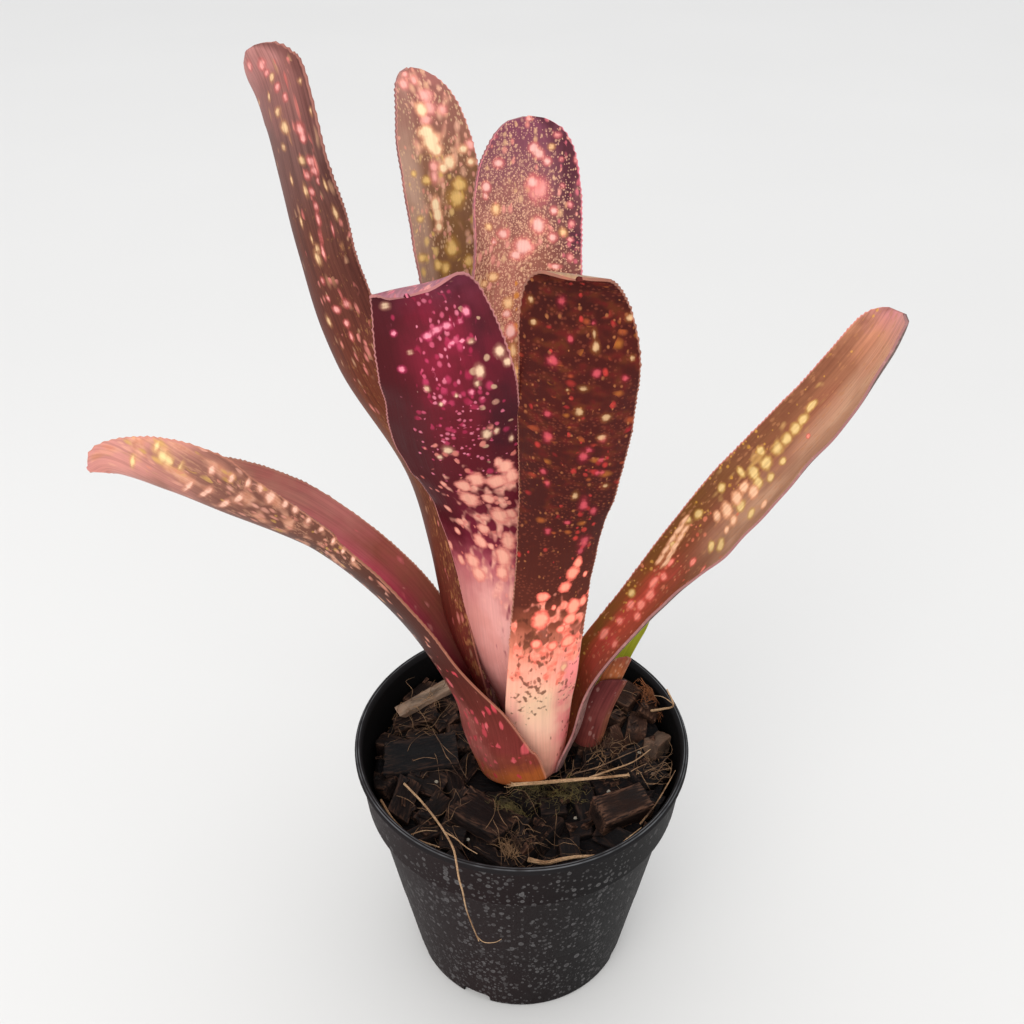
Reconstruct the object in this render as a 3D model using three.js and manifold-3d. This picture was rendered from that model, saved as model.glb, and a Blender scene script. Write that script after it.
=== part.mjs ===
// Potted spotted billbergia: a tube of strap leaves with an offset, in bark mix in a nursery pot.
// Millimetres, +Z up. The origin is the centre of the pot's flat base, and +Y points away from the viewer.
import * as THREE from 'three';
import { mergeVertices } from 'three/addons/utils/BufferGeometryUtils.js';
import Module from 'manifold-3d';

const wasm = await Module();
wasm.setup();

// Driving dimensions of the pot
const RIM_RADIUS = 65;
const BASE_RADIUS = 45;
const POT_HEIGHT = 113;
const WALL = 1.3;
const FLOOR = 1.6;
const FOOT_CHAMFER = 1.5;
const COLLAR_DEPTH = 24;
const COLLAR_PROUD = 2.4;
const COLLAR_TAPER = 2;
const COLLAR_STEP = 1;
const LIP = 2.6;
const LIP_PROUD = 1.2;
const LIP_STEP = 0.4;
const LIP_ROUND = 0.7;
const DRAINS = 8;
const DRAIN_WIDTH = 12;
const DRAIN_HEIGHT = 5.5;
const DRAIN_REACH = 9;
const FIRST_DRAIN = 0.46;
const POT_SIDES = 40;

// Driving dimensions of the planting
const GAP = 0.3;
const MIX_GAP = 0.4;
const MIX_LEVEL = 100;
const SHEATH_FOOT = 92;
const STEM_FOOT = 76;
const CROWN = new THREE.Vector2(3, 3);
const STEM_RADIUS = 6.3;
const STEM_SIDES = 16;
const FIRST_SHEATH = 7.5;
const SHEATH_STEP = 1.55;

// Driving dimensions of a leaf
const LEAF_COLUMNS = 8;
const BRACT_COLUMNS = 5;
const SHEATH_WALL = 0.8;
const BLADE_WALL = 1.2;
const MARGIN_WALL = 0.75;
const TIP_WIDTH = 3.5;
const SPINE_HEIGHT = 1.1;
const SPINE_HALF_BASE = 0.8;
const SPINE_PITCH = 16;
const SPINE_PITCH_AT_TIP = 7;
const TIP_ZONE = 28;
const PLAIN_PITCH = 13;
const TIP_ROWS = [8.5, 5.5, 3, 1.2, 0];

// Where along a leaf it rolls, as shares of its length, and where it flattens, in mm from the tip
const ROLL_STARTS = [0, 0.3];
const ROLL_CHANGES = [0.3, 0.95];
const FLATTENS = [50, 8];

const PLASTIC = { color: 0x161518, roughness: 0.55, metalness: 0 };
const BARK = { color: 0x2a1d19, roughness: 0.95, metalness: 0 };
const PALE_WOOD = { color: 0x8a6448, roughness: 0.9, metalness: 0 };
const DRY_ROOT = { color: 0xa07a52, roughness: 0.85, metalness: 0 };
const STEM_TISSUE = { color: 0x6a3a22, roughness: 0.8, metalness: 0 };
const LEAF_ROUGHNESS = 0.42;
const BRACT_ROUGHNESS = 0.5;

const part = new THREE.Group();

function addMesh(name, geometry, finish) {
  const mesh = new THREE.Mesh(geometry, new THREE.MeshStandardMaterial(finish));
  mesh.name = name;
  part.add(mesh);
}

// A seeded sequence of numbers from 0 to 1, the same on every run
function sequence(seed) {
  let state = seed;
  return () => {
    state = (state * 1664525 + 1013904223) % 4294967296;
    return state / 4294967296;
  };
}

// Closed geometry to a solid that can be joined and cut, and back
function toSolid(geometry) {
  const bare = geometry.clone();
  bare.deleteAttribute('normal');
  bare.deleteAttribute('uv');
  const merged = mergeVertices(bare, 1e-4);
  return new wasm.Manifold(new wasm.Mesh({
    numProp: 3,
    vertProperties: new Float32Array(merged.attributes.position.array),
    triVerts: new Uint32Array(merged.index.array),
  }));
}

function toGeometry(solid) {
  const mesh = solid.getMesh();
  const geometry = new THREE.BufferGeometry();
  geometry.setAttribute('position', new THREE.BufferAttribute(new Float32Array(mesh.vertProperties), 3));
  geometry.setIndex(new THREE.BufferAttribute(new Uint32Array(mesh.triVerts), 1));
  return geometry;
}

// The main body alone, with loose scraps dropped and sealed hollows filled
function largestBody(solid) {
  return solid.decompose().reduce((best, body) => (body.volume() > best.volume() ? body : best));
}

// A turned solid from a profile of [radius, height] points
function turned(profile, sides) {
  const geometry = new THREE.LatheGeometry(profile.map(([r, z]) => new THREE.Vector2(r, z)), sides);
  return geometry.rotateX(Math.PI / 2);
}

function mix(a, b, t) {
  return a + (b - a) * t;
}

// 0 before start, 1 after end, and a smooth rise between them
function rise(start, end, x) {
  return THREE.MathUtils.smoothstep(x, start, end);
}

// Pot: a tapered shell with a proud collar, a lip and drain notches in the foot edge
const COLLAR_FOOT = POT_HEIGHT - COLLAR_DEPTH;
const COLLAR_TOP_RADIUS = RIM_RADIUS - LIP_PROUD;
const WALL_TOP_RADIUS = COLLAR_TOP_RADIUS - COLLAR_PROUD - COLLAR_TAPER;

function outerWall(z) {
  return mix(BASE_RADIUS, WALL_TOP_RADIUS, z / COLLAR_FOOT);
}

function innerWall(z) {
  if (z < COLLAR_FOOT) return outerWall(z) - WALL;
  return mix(WALL_TOP_RADIUS - WALL, COLLAR_TOP_RADIUS - WALL, (z - COLLAR_FOOT) / COLLAR_DEPTH);
}

function potShell() {
  let solid = toSolid(turned([
    [0, 0],
    [BASE_RADIUS - FOOT_CHAMFER, 0],
    [BASE_RADIUS, FOOT_CHAMFER],
    [WALL_TOP_RADIUS, COLLAR_FOOT],
    [WALL_TOP_RADIUS + COLLAR_PROUD, COLLAR_FOOT + COLLAR_STEP],
    [COLLAR_TOP_RADIUS, POT_HEIGHT - LIP],
    [RIM_RADIUS, POT_HEIGHT - LIP + LIP_STEP],
    [RIM_RADIUS, POT_HEIGHT - LIP_ROUND],
    [RIM_RADIUS - LIP_ROUND, POT_HEIGHT],
    [RIM_RADIUS - LIP, POT_HEIGHT],
    [innerWall(POT_HEIGHT - LIP_ROUND), POT_HEIGHT - LIP_ROUND],
    [innerWall(COLLAR_FOOT), COLLAR_FOOT],
    [innerWall(FLOOR), FLOOR],
    [0, FLOOR],
  ], POT_SIDES));
  for (let k = 0; k < DRAINS; k += 1) {
    const notch = new THREE.BoxGeometry(DRAIN_REACH, DRAIN_WIDTH, DRAIN_HEIGHT * 2);
    notch.translate(BASE_RADIUS, 0, 0);
    notch.rotateZ(((k + FIRST_DRAIN) / DRAINS) * 2 * Math.PI);
    solid = solid.subtract(toSolid(notch));
  }
  return toGeometry(solid);
}

// Leaf: a strap that starts as a sheath round the crown and opens into a channelled blade.
// Each section across it is an arc, of the leaf's width and curl radius at that place.
function spineStations(length, spinesFrom = length) {
  const stations = [];
  const bladeEnd = length - TIP_ROWS[0] - 2 * SPINE_HALF_BASE;
  const plainEnd = Math.min(spinesFrom - 2 * SPINE_HALF_BASE, bladeEnd);
  for (let s = 0; s < plainEnd; s += PLAIN_PITCH) stations.push([s, 0]);
  let at = spinesFrom;
  while (at < bladeEnd) {
    stations.push([at - SPINE_HALF_BASE, 0], [at, 1], [at + SPINE_HALF_BASE, 0]);
    at += at > length - TIP_ZONE ? SPINE_PITCH_AT_TIP : SPINE_PITCH;
  }
  TIP_ROWS.forEach((back) => stations.push([length - back, 0]));
  return stations;
}

function tipTaper(distance, rounding) {
  if (distance > rounding) return 1;
  const k = 1 - distance / rounding;
  return Math.sqrt(Math.max(1 - k * k, 0));
}

// The frame is carried along the midrib without turning about it
function leafFrames(curve, stations, length, azimuth) {
  let out = new THREE.Vector3(Math.cos(azimuth), Math.sin(azimuth), 0);
  return stations.map(([s]) => {
    const u = Math.min(s / length, 1);
    const tangent = curve.getTangentAt(u);
    out = out.clone().addScaledVector(tangent, -out.dot(tangent)).normalize();
    return { at: curve.getPointAt(u), tangent, out, u, s };
  });
}

function midribCurve({ midrib, crown, azimuth }) {
  const angle = THREE.MathUtils.degToRad(azimuth);
  const away = new THREE.Vector3(Math.cos(angle), Math.sin(angle), 0);
  const side = new THREE.Vector3(-away.y, away.x, 0);
  const centre = new THREE.Vector3(crown.x, crown.y, 0);
  const points = midrib.map(([reach, sway, z]) => (
    centre.clone().addScaledVector(away, reach).addScaledVector(side, sway).setZ(z)));
  const curve = new THREE.CatmullRomCurve3(points, false, 'centripetal');
  curve.arcLengthDivisions = 400;
  return curve;
}

// The leaf's width, curl radius, wall and roll at a share u of its length
function leafSection(leaf, length, { u, s }) {
  const open = rise(leaf.opens[0], leaf.opens[1], u);
  const fullWidth = mix(leaf.sheathWidth, leaf.bladeWidth, rise(leaf.narrows[0], leaf.narrows[1], u));
  const flattening = 1 + leaf.tipFlatness * rise(length - FLATTENS[0], length - FLATTENS[1], s);
  return {
    width: Math.max(fullWidth * tipTaper(length - s, leaf.rounding), TIP_WIDTH),
    curl: mix(leaf.sheathRadius, leaf.bladeCurl, open) * flattening,
    middle: mix(SHEATH_WALL, BLADE_WALL, open),
    margin: mix(SHEATH_WALL, MARGIN_WALL, open),
    roll: mix(leaf.roll[0], leaf.roll[1], rise(...ROLL_CHANGES, u)) * rise(...ROLL_STARTS, u),
  };
}

function leafGeometry(leaf) {
  const curve = midribCurve(leaf);
  const length = curve.getLength();
  const stations = spineStations(length, leaf.spinesFrom);
  const positions = [];
  const frames = leafFrames(curve, stations, length, THREE.MathUtils.degToRad(leaf.azimuth));
  frames.forEach((frame, row) => {
    const { width, curl, middle, margin, roll } = leafSection(leaf, length, frame);
    const outward = frame.out.clone().applyAxisAngle(frame.tangent, THREE.MathUtils.degToRad(roll));
    const across = new THREE.Vector3().crossVectors(frame.tangent, outward);
    for (let j = 0; j <= leaf.columns; j += 1) {
      const k = (2 * j) / leaf.columns - 1;
      const onMargin = Math.abs(k) === 1;
      const spine = onMargin ? Math.sign(k) * stations[row][1] * SPINE_HEIGHT : 0;
      const angle = ((k * width) / 2 + spine) / curl;
      const half = mix(middle, margin, k * k) / 2;
      for (const face of [1, -1]) {
        const r = curl + face * half;
        const p = frame.at.clone()
          .addScaledVector(across, r * Math.sin(angle))
          .addScaledVector(outward, r * Math.cos(angle) - curl);
        positions.push(p.x, p.y, p.z);
      }
    }
  });
  return strapGeometry(positions, stations.length, leaf.columns);
}

// Closes two parallel grids of points, front and back, into one strap
function strapGeometry(positions, rows, columns) {
  const index = [];
  const vertex = (i, j, face) => (i * (columns + 1) + j) * 2 + face;
  const quad = (a, b, c, d) => index.push(a, b, c, a, c, d);
  const last = rows - 1;
  for (let i = 0; i < last; i += 1) {
    for (let j = 0; j < columns; j += 1) {
      const front = [vertex(i, j, 0), vertex(i, j + 1, 0), vertex(i + 1, j + 1, 0), vertex(i + 1, j, 0)];
      quad(...front);
      const [a, b, c, d] = front.map((v) => v + 1);
      index.push(a, c, b, a, d, c);
    }
    quad(vertex(i, 0, 1), vertex(i, 0, 0), vertex(i + 1, 0, 0), vertex(i + 1, 0, 1));
    quad(vertex(i, columns, 0), vertex(i, columns, 1), vertex(i + 1, columns, 1), vertex(i + 1, columns, 0));
  }
  for (let j = 0; j < columns; j += 1) {
    quad(vertex(0, j, 1), vertex(0, j + 1, 1), vertex(0, j + 1, 0), vertex(0, j, 0));
    quad(vertex(last, j, 0), vertex(last, j + 1, 0), vertex(last, j + 1, 1), vertex(last, j, 1));
  }
  const geometry = new THREE.BufferGeometry();
  geometry.setAttribute('position', new THREE.Float32BufferAttribute(positions, 3));
  geometry.setIndex(index);
  return geometry;
}

// Leaves from the innermost sheath to the outermost. A midrib point is [reach from the crown's axis,
// sway to the left of the leaf, height].
const LEAVES = [
  {
    name: 'leaf_front_left', azimuth: -126, color: 0x5c1226,
    midrib: [
      [9, 0, 125], [14, 1, 165], [25, 0, 210], [38, 0, 255], [50, 3, 297], [58, 6, 319], [66, 9, 325],
    ],
    sheathWidth: 24, bladeWidth: 35, bladeCurl: 32, tipFlatness: 3,
    roll: [4, 32], rounding: 26, spinesFrom: 115, narrows: [0.2, 0.6],
  },
  {
    name: 'leaf_back_right', azimuth: 91, color: 0x6b3038,
    midrib: [[11, 0, 125], [16, 0, 180], [22, 0, 240], [31, 0, 290], [41, 0, 324], [49, 0, 335]],
    sheathWidth: 24, bladeWidth: 35, bladeCurl: 34, tipFlatness: 3,
    roll: [0, 0], rounding: 24, spinesFrom: 155,
  },
  {
    name: 'leaf_back_left', azimuth: 125, color: 0x6a4a30,
    midrib: [[14.5, 0, 125], [24, 0, 175], [35, 0, 240], [45, 0, 290], [56, 0, 333], [63, 0, 350]],
    sheathWidth: 30, bladeWidth: 30, bladeCurl: 30, tipFlatness: 3,
    roll: [0, 0], rounding: 38, spinesFrom: 155,
  },
  {
    name: 'leaf_left_tall', azimuth: 161, color: 0x542626,
    midrib: [
      [17.5, 0, 122], [28.5, 0, 165], [45, 0, 210], [65, 0, 262], [78, 0, 310], [83, 0, 339],
      [86, 0, 352], [92, 0, 356],
    ],
    sheathWidth: 29, bladeWidth: 41, bladeCurl: 18, tipFlatness: 0,
    roll: [30, 42], rounding: 17, spinesFrom: 125, narrows: [0.3, 0.75], opens: [0.15, 0.5],
  },
  {
    name: 'leaf_front_right', azimuth: -70, color: 0x4c1a1a,
    midrib: [
      [14, 0, 112], [17, 0, 135], [22, 0.3, 160], [29, 0, 210], [39, -2, 255], [49, -6.2, 297],
      [57, -10.2, 324], [65, -12.2, 331],
    ],
    sheathWidth: 30, bladeWidth: 32.5, bladeCurl: 36, tipFlatness: 3,
    roll: [0, -18], rounding: 32, spinesFrom: 115, narrows: [0.4, 0.8],
  },
  {
    name: 'leaf_right_low', azimuth: 6, color: 0x7a4a40,
    midrib: [
      [20, 0, 118], [31, 0, 147], [51, 0, 178], [76, 0, 213], [102, 0, 251], [114, 0, 275],
      [120, 0, 283],
    ],
    sheathWidth: 27, bladeWidth: 33, bladeCurl: 26, tipFlatness: 0,
    roll: [0, 0], rounding: 15, spinesFrom: 70, opens: [0.12, 0.5],
  },
  {
    name: 'leaf_left_low', azimuth: 182, color: 0x86503c,
    midrib: [
      [23, 0, 116], [30, 0, 140], [39, 0, 162], [66, 0, 198], [95, 0, 219], [120, 0, 232.5],
      [136, 0, 237.5], [147, 0, 238.5],
    ],
    sheathWidth: 60, bladeWidth: 40, bladeCurl: 17, tipFlatness: 0,
    roll: [20, 76], rounding: 66, spinesFrom: 80, narrows: [0, 0.22], opens: [0.12, 0.5],
  },
];

// The rank of a leaf, from 0 at the crown's heart outwards, gives the radius of its sheath
function sheathRadius(rank) {
  return FIRST_SHEATH + rank * SHEATH_STEP;
}

function rosetteLeaf({ midrib, color, name, narrows = [0.15, 0.7], opens = [0.2, 0.7], ...leaf }, rank) {
  const radius = sheathRadius(rank);
  const foot = [[radius, 0, SHEATH_FOOT], [radius + 0.2, 0, SHEATH_FOOT + 9]];
  const geometry = leafGeometry({
    ...leaf, columns: LEAF_COLUMNS, narrows, opens, sheathRadius: radius, crown: CROWN,
    midrib: [...foot, ...midrib],
  });
  addMesh(name, geometry, { color, roughness: LEAF_ROUGHNESS, metalness: 0 });
}

// Offset: two bracts and a short green leaf, leaning away from the main crown
const OFFSET_CROWN = new THREE.Vector2(26.5, 9.5);
const OFFSET_FACING = -65;
const OFFSET_FOOT = 93;
const OFFSET_LEAVES = [
  {
    name: 'offset_outer_bract', azimuth: OFFSET_FACING, sheathRadius: 6, color: 0xa8605a,
    midrib: [[6, 0, OFFSET_FOOT], [6.2, 1, 103], [6.6, 5, 116], [7, 9, 126], [7.5, 12, 132]],
    sheathWidth: 20, bladeWidth: 17, bladeCurl: 7, rounding: 9,
  },
  {
    name: 'offset_inner_bract', azimuth: OFFSET_FACING, sheathRadius: 4.4, color: 0xa0582c,
    midrib: [[4.4, 0, OFFSET_FOOT], [4.6, 1, 103], [4.8, 5, 116], [5, 10, 129], [5.4, 15, 141]],
    sheathWidth: 14, bladeWidth: 12, bladeCurl: 5.5, rounding: 8,
  },
  {
    name: 'offset_leaf', azimuth: OFFSET_FACING + 180, sheathRadius: 3.2, color: 0x8f9a2c,
    midrib: [
      [3.2, 0, OFFSET_FOOT], [3.2, -1, 103], [4, -5, 116], [7, -15, 133], [8.5, -24, 147], [9, -30, 154],
    ],
    sheathWidth: 9, bladeWidth: 12, bladeCurl: 9, rounding: 12,
  },
];

function offsetLeaf({ name, color, ...leaf }) {
  const geometry = leafGeometry({
    ...leaf, columns: BRACT_COLUMNS, crown: OFFSET_CROWN, narrows: [0.1, 0.6], opens: [0.2, 0.7],
    tipFlatness: 0, roll: [0, 0],
  });
  addMesh(name, geometry, { color, roughness: BRACT_ROUGHNESS, metalness: 0 });
}

// Stem: the short core that the sheaths grow round, from its cut foot to its growing tip
function stemGeometry() {
  return turned([
    [0, STEM_FOOT],
    [STEM_RADIUS - 1.5, STEM_FOOT],
    [STEM_RADIUS, STEM_FOOT + 3],
    [STEM_RADIUS, SHEATH_FOOT + 10],
    [STEM_RADIUS / 2, SHEATH_FOOT + 18],
    [0, SHEATH_FOOT + 20],
  ], STEM_SIDES).translate(CROWN.x, CROWN.y, 0);
}

// Dry roots and straws: thin tubes along routes that lie on the mix or hang over the rim
const ROOT_SIDES = 5;
const ROOT_STEP = 4;
const ROOTS = [
  {
    name: 'straw_front', radius: 0.8,
    routes: [
      [[-4, -16.5, 104], [7, -16, 104.5], [22, -16, 106], [34, -16, 107], [46, -16, 108.5]],
      [[26, -16.2, 106.4], [34, -14, 108], [43, -11, 109.5], [50, -6, 111]],
    ],
  },
  {
    name: 'twig_front', radius: 0.8,
    routes: [[
      [2, -51, 102], [8, -52.4, 101.9], [14, -51, 102], [20, -49.5, 101.6], [27, -49, 101.4],
      [33, -47, 102.2], [38, -44.3, 105], [43.5, -41.5, 108],
    ]],
  },
  {
    name: 'root_over_rim', radius: 0.6,
    routes: [[
      [-45, -18, 105], [-38, -28, 107], [-32, -38, 109], [-27, -49, 112.5], [-24, -57.5, 115],
      [-23, -62.5, 115.2], [-22, -66.8, 112], [-21, -66, 104], [-20, -63.5, 90], [-18, -62, 78],
      [-16, -61, 68],
    ]],
  },
  {
    name: 'root_left', radius: 0.6,
    routes: [[[-53, -27, 106], [-47, -37, 106], [-39, -44, 105], [-30, -48, 105]]],
  },
  {
    name: 'root_right', radius: 0.6,
    routes: [[[53, 18, 108], [57, 15, 112], [60.5, 12, 117], [58, 16, 122]]],
  },
];

function rootTube(points, radius) {
  const curve = new THREE.CatmullRomCurve3(points.map((p) => new THREE.Vector3(...p)), false, 'centripetal');
  const section = new THREE.Shape();
  for (let k = 0; k < ROOT_SIDES; k += 1) {
    const angle = (2 * Math.PI * k) / ROOT_SIDES;
    const corner = [radius * Math.cos(angle), radius * Math.sin(angle)];
    if (k === 0) section.moveTo(...corner);
    else section.lineTo(...corner);
  }
  const steps = Math.round(curve.getLength() / ROOT_STEP);
  return toSolid(new THREE.ExtrudeGeometry(section, { steps, extrudePath: curve, bevelEnabled: false }));
}

// The same route, a little longer at both ends
function lengthened(route, extra) {
  const [first, second] = route.slice(0, 2).map((p) => new THREE.Vector3(...p));
  const [last, before] = route.slice(-2).reverse().map((p) => new THREE.Vector3(...p));
  const start = first.clone().add(first.clone().sub(second).setLength(extra));
  const end = last.clone().add(last.clone().sub(before).setLength(extra));
  return [start.toArray(), ...route.slice(1, -1), end.toArray()];
}

function rootSolid({ routes, radius }, grow = 0) {
  return routes
    .map((route) => rootTube(grow > 0 ? lengthened(route, grow) : route, radius + grow))
    .reduce((all, tube) => all.add(tube));
}

// Bark: seeded chips sunk in a plug that fills the pot, heaped up towards the right and the back
const CHIP_COUNT = 64;
const CHIP_RING = [17, 58];
const CHIP_LENGTHS = [11, 22];
const CHIP_WIDTHS = [8, 14];
const CHIP_HEIGHTS = [7, 10];
const CHIP_TILT = 24;
const CHIP_RISE = [-0.5, 1.5];
const CHIP_WEAR = 0.3;
const LOOSE_WEAR = 0.25;
const CHIPS_PROUD = 2.5;
const CHIP_NEST = 0.6;
const GOLDEN_ANGLE = Math.PI * (3 - Math.sqrt(5));
const HEAP = { right: 6, from: 10, to: 55 };
const BACK_HEAP = { rise: 2, from: 15, to: 50 };
const RIM_ROOM = 1.2;
const HEAP_ROOM = 8;

function mixLevel(x, y) {
  const right = HEAP.right * rise(HEAP.from, HEAP.to, x);
  const back = BACK_HEAP.rise * rise(BACK_HEAP.from, BACK_HEAP.to, y);
  return MIX_LEVEL + right + back;
}

function chipGeometry([length, width, height], random, wear) {
  const box = new THREE.BoxGeometry(length, width, height);
  box.deleteAttribute('normal');
  box.deleteAttribute('uv');
  const chip = mergeVertices(box, 1e-4);
  const corners = chip.attributes.position;
  for (let k = 0; k < corners.count; k += 1) {
    corners.setXYZ(
      k,
      corners.getX(k) * (1 - wear * random()),
      corners.getY(k) * (1 - wear * random()),
      corners.getZ(k) * (1 - wear * random()),
    );
  }
  return chip;
}

function place(geometry, [x, y, z], degrees) {
  const turn = new THREE.Euler(...degrees.map(THREE.MathUtils.degToRad), 'XYZ');
  return geometry
    .applyMatrix4(new THREE.Matrix4().makeRotationFromEuler(turn))
    .translate(x, y, z);
}

const LOOSE_CHIPS = [
  { name: 'bark_slab', size: [34, 19, 5], at: [-40, -2, 103], turn: [4, -3, 10], finish: BARK, seed: 5 },
  {
    name: 'wood_sliver', size: [30, 7, 3], at: [-39, 28, 105.5], turn: [6, -4, 33], finish: PALE_WOOD,
    seed: 8,
  },
  {
    name: 'bark_chip_front', size: [27, 18, 6], at: [-14, -33, 103.5], turn: [-8, 6, -34], finish: BARK,
    seed: 3,
  },
  { name: 'bark_block', size: [24, 14, 10], at: [37, -32, 106.5], turn: [5, 4, 24], finish: BARK, seed: 9 },
];

function looseChip({ size, at, turn, seed }, grow = 0) {
  const chip = chipGeometry(size, sequence(seed), LOOSE_WEAR);
  const [length, width, height] = size;
  chip.scale(1 + (2 * grow) / length, 1 + (2 * grow) / width, 1 + (2 * grow) / height);
  return toSolid(place(chip, at, turn));
}

function mixPlug() {
  const top = innerWall(MIX_LEVEL) - MIX_GAP;
  const plug = turned([
    [0, FLOOR + GAP],
    [innerWall(FLOOR) - MIX_GAP, FLOOR + GAP],
    [innerWall(COLLAR_FOOT) - MIX_GAP, COLLAR_FOOT],
    [top, MIX_LEVEL],
    [top * 0.75, MIX_LEVEL],
    [top * 0.5, MIX_LEVEL],
    [0, MIX_LEVEL],
  ], POT_SIDES);
  const points = plug.attributes.position;
  for (let k = 0; k < points.count; k += 1) {
    const [x, y, z] = [points.getX(k), points.getY(k), points.getZ(k)];
    if (z > COLLAR_FOOT + COLLAR_STEP) points.setZ(k, mixLevel(x, y) - CHIPS_PROUD);
  }
  return toSolid(plug);
}

// The room inside the pot, carried on above the rim
function potRoom() {
  return toSolid(turned([
    [0, FLOOR + GAP],
    [innerWall(FLOOR) - MIX_GAP, FLOOR + GAP],
    [innerWall(COLLAR_FOOT) - MIX_GAP, COLLAR_FOOT],
    [innerWall(POT_HEIGHT) - RIM_ROOM, POT_HEIGHT],
    [innerWall(POT_HEIGHT) - RIM_ROOM, POT_HEIGHT + HEAP_ROOM],
    [0, POT_HEIGHT + HEAP_ROOM],
  ], POT_SIDES));
}

// Plain holes that the main plant and its offset stand in, flared above the mix
const OFFSET_HOLE = [[7.7, OFFSET_FOOT - 3 * GAP], [8.5, MIX_LEVEL - 1], [18, MIX_LEVEL + 22]];

function plantHoles() {
  const outermost = sheathRadius(LEAVES.length - 1) + SHEATH_WALL / 2;
  const core = STEM_RADIUS + MIX_GAP;
  const main = turned([
    [0, STEM_FOOT - GAP],
    [core, STEM_FOOT - GAP],
    [core, SHEATH_FOOT - GAP],
    [outermost + 0.7, SHEATH_FOOT - GAP],
    [outermost + 1, SHEATH_FOOT + 3],
    [outermost + 4, MIX_LEVEL + 3],
    [outermost + 9.5, MIX_LEVEL + 15],
    [0, MIX_LEVEL + 15],
  ], 24).translate(CROWN.x, CROWN.y, 0);
  const bottom = OFFSET_HOLE[0][1];
  const top = OFFSET_HOLE[OFFSET_HOLE.length - 1][1];
  const young = turned([[0, bottom], ...OFFSET_HOLE, [0, top]], STEM_SIDES)
    .translate(OFFSET_CROWN.x, OFFSET_CROWN.y, 0);
  return toSolid(main).add(toSolid(young));
}

function barkMix() {
  const random = sequence(29);
  const between = ([low, high]) => mix(low, high, random());
  const [inner, outer] = CHIP_RING.map((radius) => radius * radius);
  let solid = mixPlug();
  for (let k = 0; k < CHIP_COUNT; k += 1) {
    const angle = k * GOLDEN_ANGLE;
    const reach = Math.sqrt(mix(inner, outer, (k + 0.5) / CHIP_COUNT));
    const x = reach * Math.cos(angle);
    const y = reach * Math.sin(angle);
    const size = [between(CHIP_LENGTHS), between(CHIP_WIDTHS), between(CHIP_HEIGHTS)];
    const chip = chipGeometry(size, random, CHIP_WEAR);
    const tilt = [between([-CHIP_TILT, CHIP_TILT]), between([-CHIP_TILT, CHIP_TILT]), 360 * random()];
    const height = mixLevel(x, y) - CHIPS_PROUD + between(CHIP_RISE);
    solid = solid.add(toSolid(place(chip, [x, y, height], tilt)));
  }
  solid = solid.intersect(potRoom()).subtract(plantHoles());
  LOOSE_CHIPS.forEach((chip) => { solid = solid.subtract(looseChip(chip, CHIP_NEST)); });
  ROOTS.forEach((root) => { solid = solid.subtract(rootSolid(root, MIX_GAP)); });
  return toGeometry(largestBody(solid));
}

addMesh('pot', potShell(), PLASTIC);
addMesh('bark_mix', barkMix(), BARK);
LOOSE_CHIPS.forEach((chip) => addMesh(chip.name, toGeometry(looseChip(chip)), chip.finish));
addMesh('stem', stemGeometry(), STEM_TISSUE);
LEAVES.forEach(rosetteLeaf);
OFFSET_LEAVES.forEach(offsetLeaf);
ROOTS.forEach((root) => addMesh(root.name, toGeometry(rootSolid(root)), DRY_ROOT));

export default part;
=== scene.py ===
# %% [markdown]
# # A potted spotted billbergia
# The plant is a tube of strap leaves with saw-toothed margins, in coarse bark in a black nursery pot.
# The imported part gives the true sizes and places. This lesson models every piece of it finely, in
# metres and in the part's own frame, and paints the markings with nodes.

# %% Load the frame
import math

import bpy
import numpy as np
from mathutils import Matrix, Vector, noise
from mathutils.bvhtree import BVHTree


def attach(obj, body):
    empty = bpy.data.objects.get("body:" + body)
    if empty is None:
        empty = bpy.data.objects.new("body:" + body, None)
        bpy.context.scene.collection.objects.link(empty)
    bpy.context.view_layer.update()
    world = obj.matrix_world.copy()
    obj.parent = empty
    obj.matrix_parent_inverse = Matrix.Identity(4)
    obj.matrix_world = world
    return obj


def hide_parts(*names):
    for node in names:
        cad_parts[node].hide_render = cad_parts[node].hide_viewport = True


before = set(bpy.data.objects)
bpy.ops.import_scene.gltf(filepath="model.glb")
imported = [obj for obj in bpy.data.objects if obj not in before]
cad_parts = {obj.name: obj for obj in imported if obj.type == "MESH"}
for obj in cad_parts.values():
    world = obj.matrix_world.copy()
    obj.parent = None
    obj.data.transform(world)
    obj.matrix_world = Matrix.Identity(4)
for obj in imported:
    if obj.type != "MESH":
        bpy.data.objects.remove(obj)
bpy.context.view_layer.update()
bpy.ops.object.select_all(action="DESELECT")
MM = 0.001
print("CAD nodes:", len(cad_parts))

# %% [markdown]
# ## Camera, floor and light
# The camera stands where the photograph was taken from, above the rim and looking down at 35 degrees.
# The light is that of a white studio: a broad lamp in front, a weak one overhead and a pale world that
# fills the shadows, so that they are hardly seen and the leaf undersides still read.

# %% Camera and studio
LOOK_DOWN = 34.975
PITCH = math.radians(90 - LOOK_DOWN)
bpy.ops.object.camera_add(location=(-0.00372, -0.31904, 0.44246), rotation=(PITCH, 0, 0))
camera = bpy.context.object
camera.data.sensor_width = 36
camera.data.lens = 40.43
camera.data.clip_start = 0.01
bpy.context.scene.camera = camera
bpy.context.scene.view_settings.view_transform = "Standard"

bpy.ops.mesh.primitive_plane_add(size=12, location=(0, 0, -0.0002))
floor = bpy.context.object
floor.name = "floor"


def area_light(name, place, aim, size, power, tint=(1, 1, 1)):
    bpy.ops.object.light_add(type="AREA", location=place)
    light = bpy.context.object
    light.name = name
    light.data.size = size
    light.data.energy = power
    light.data.color = tint
    light.rotation_euler = (Vector(aim) - Vector(place)).to_track_quat("-Z", "Y").to_euler()
    return light


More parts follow.
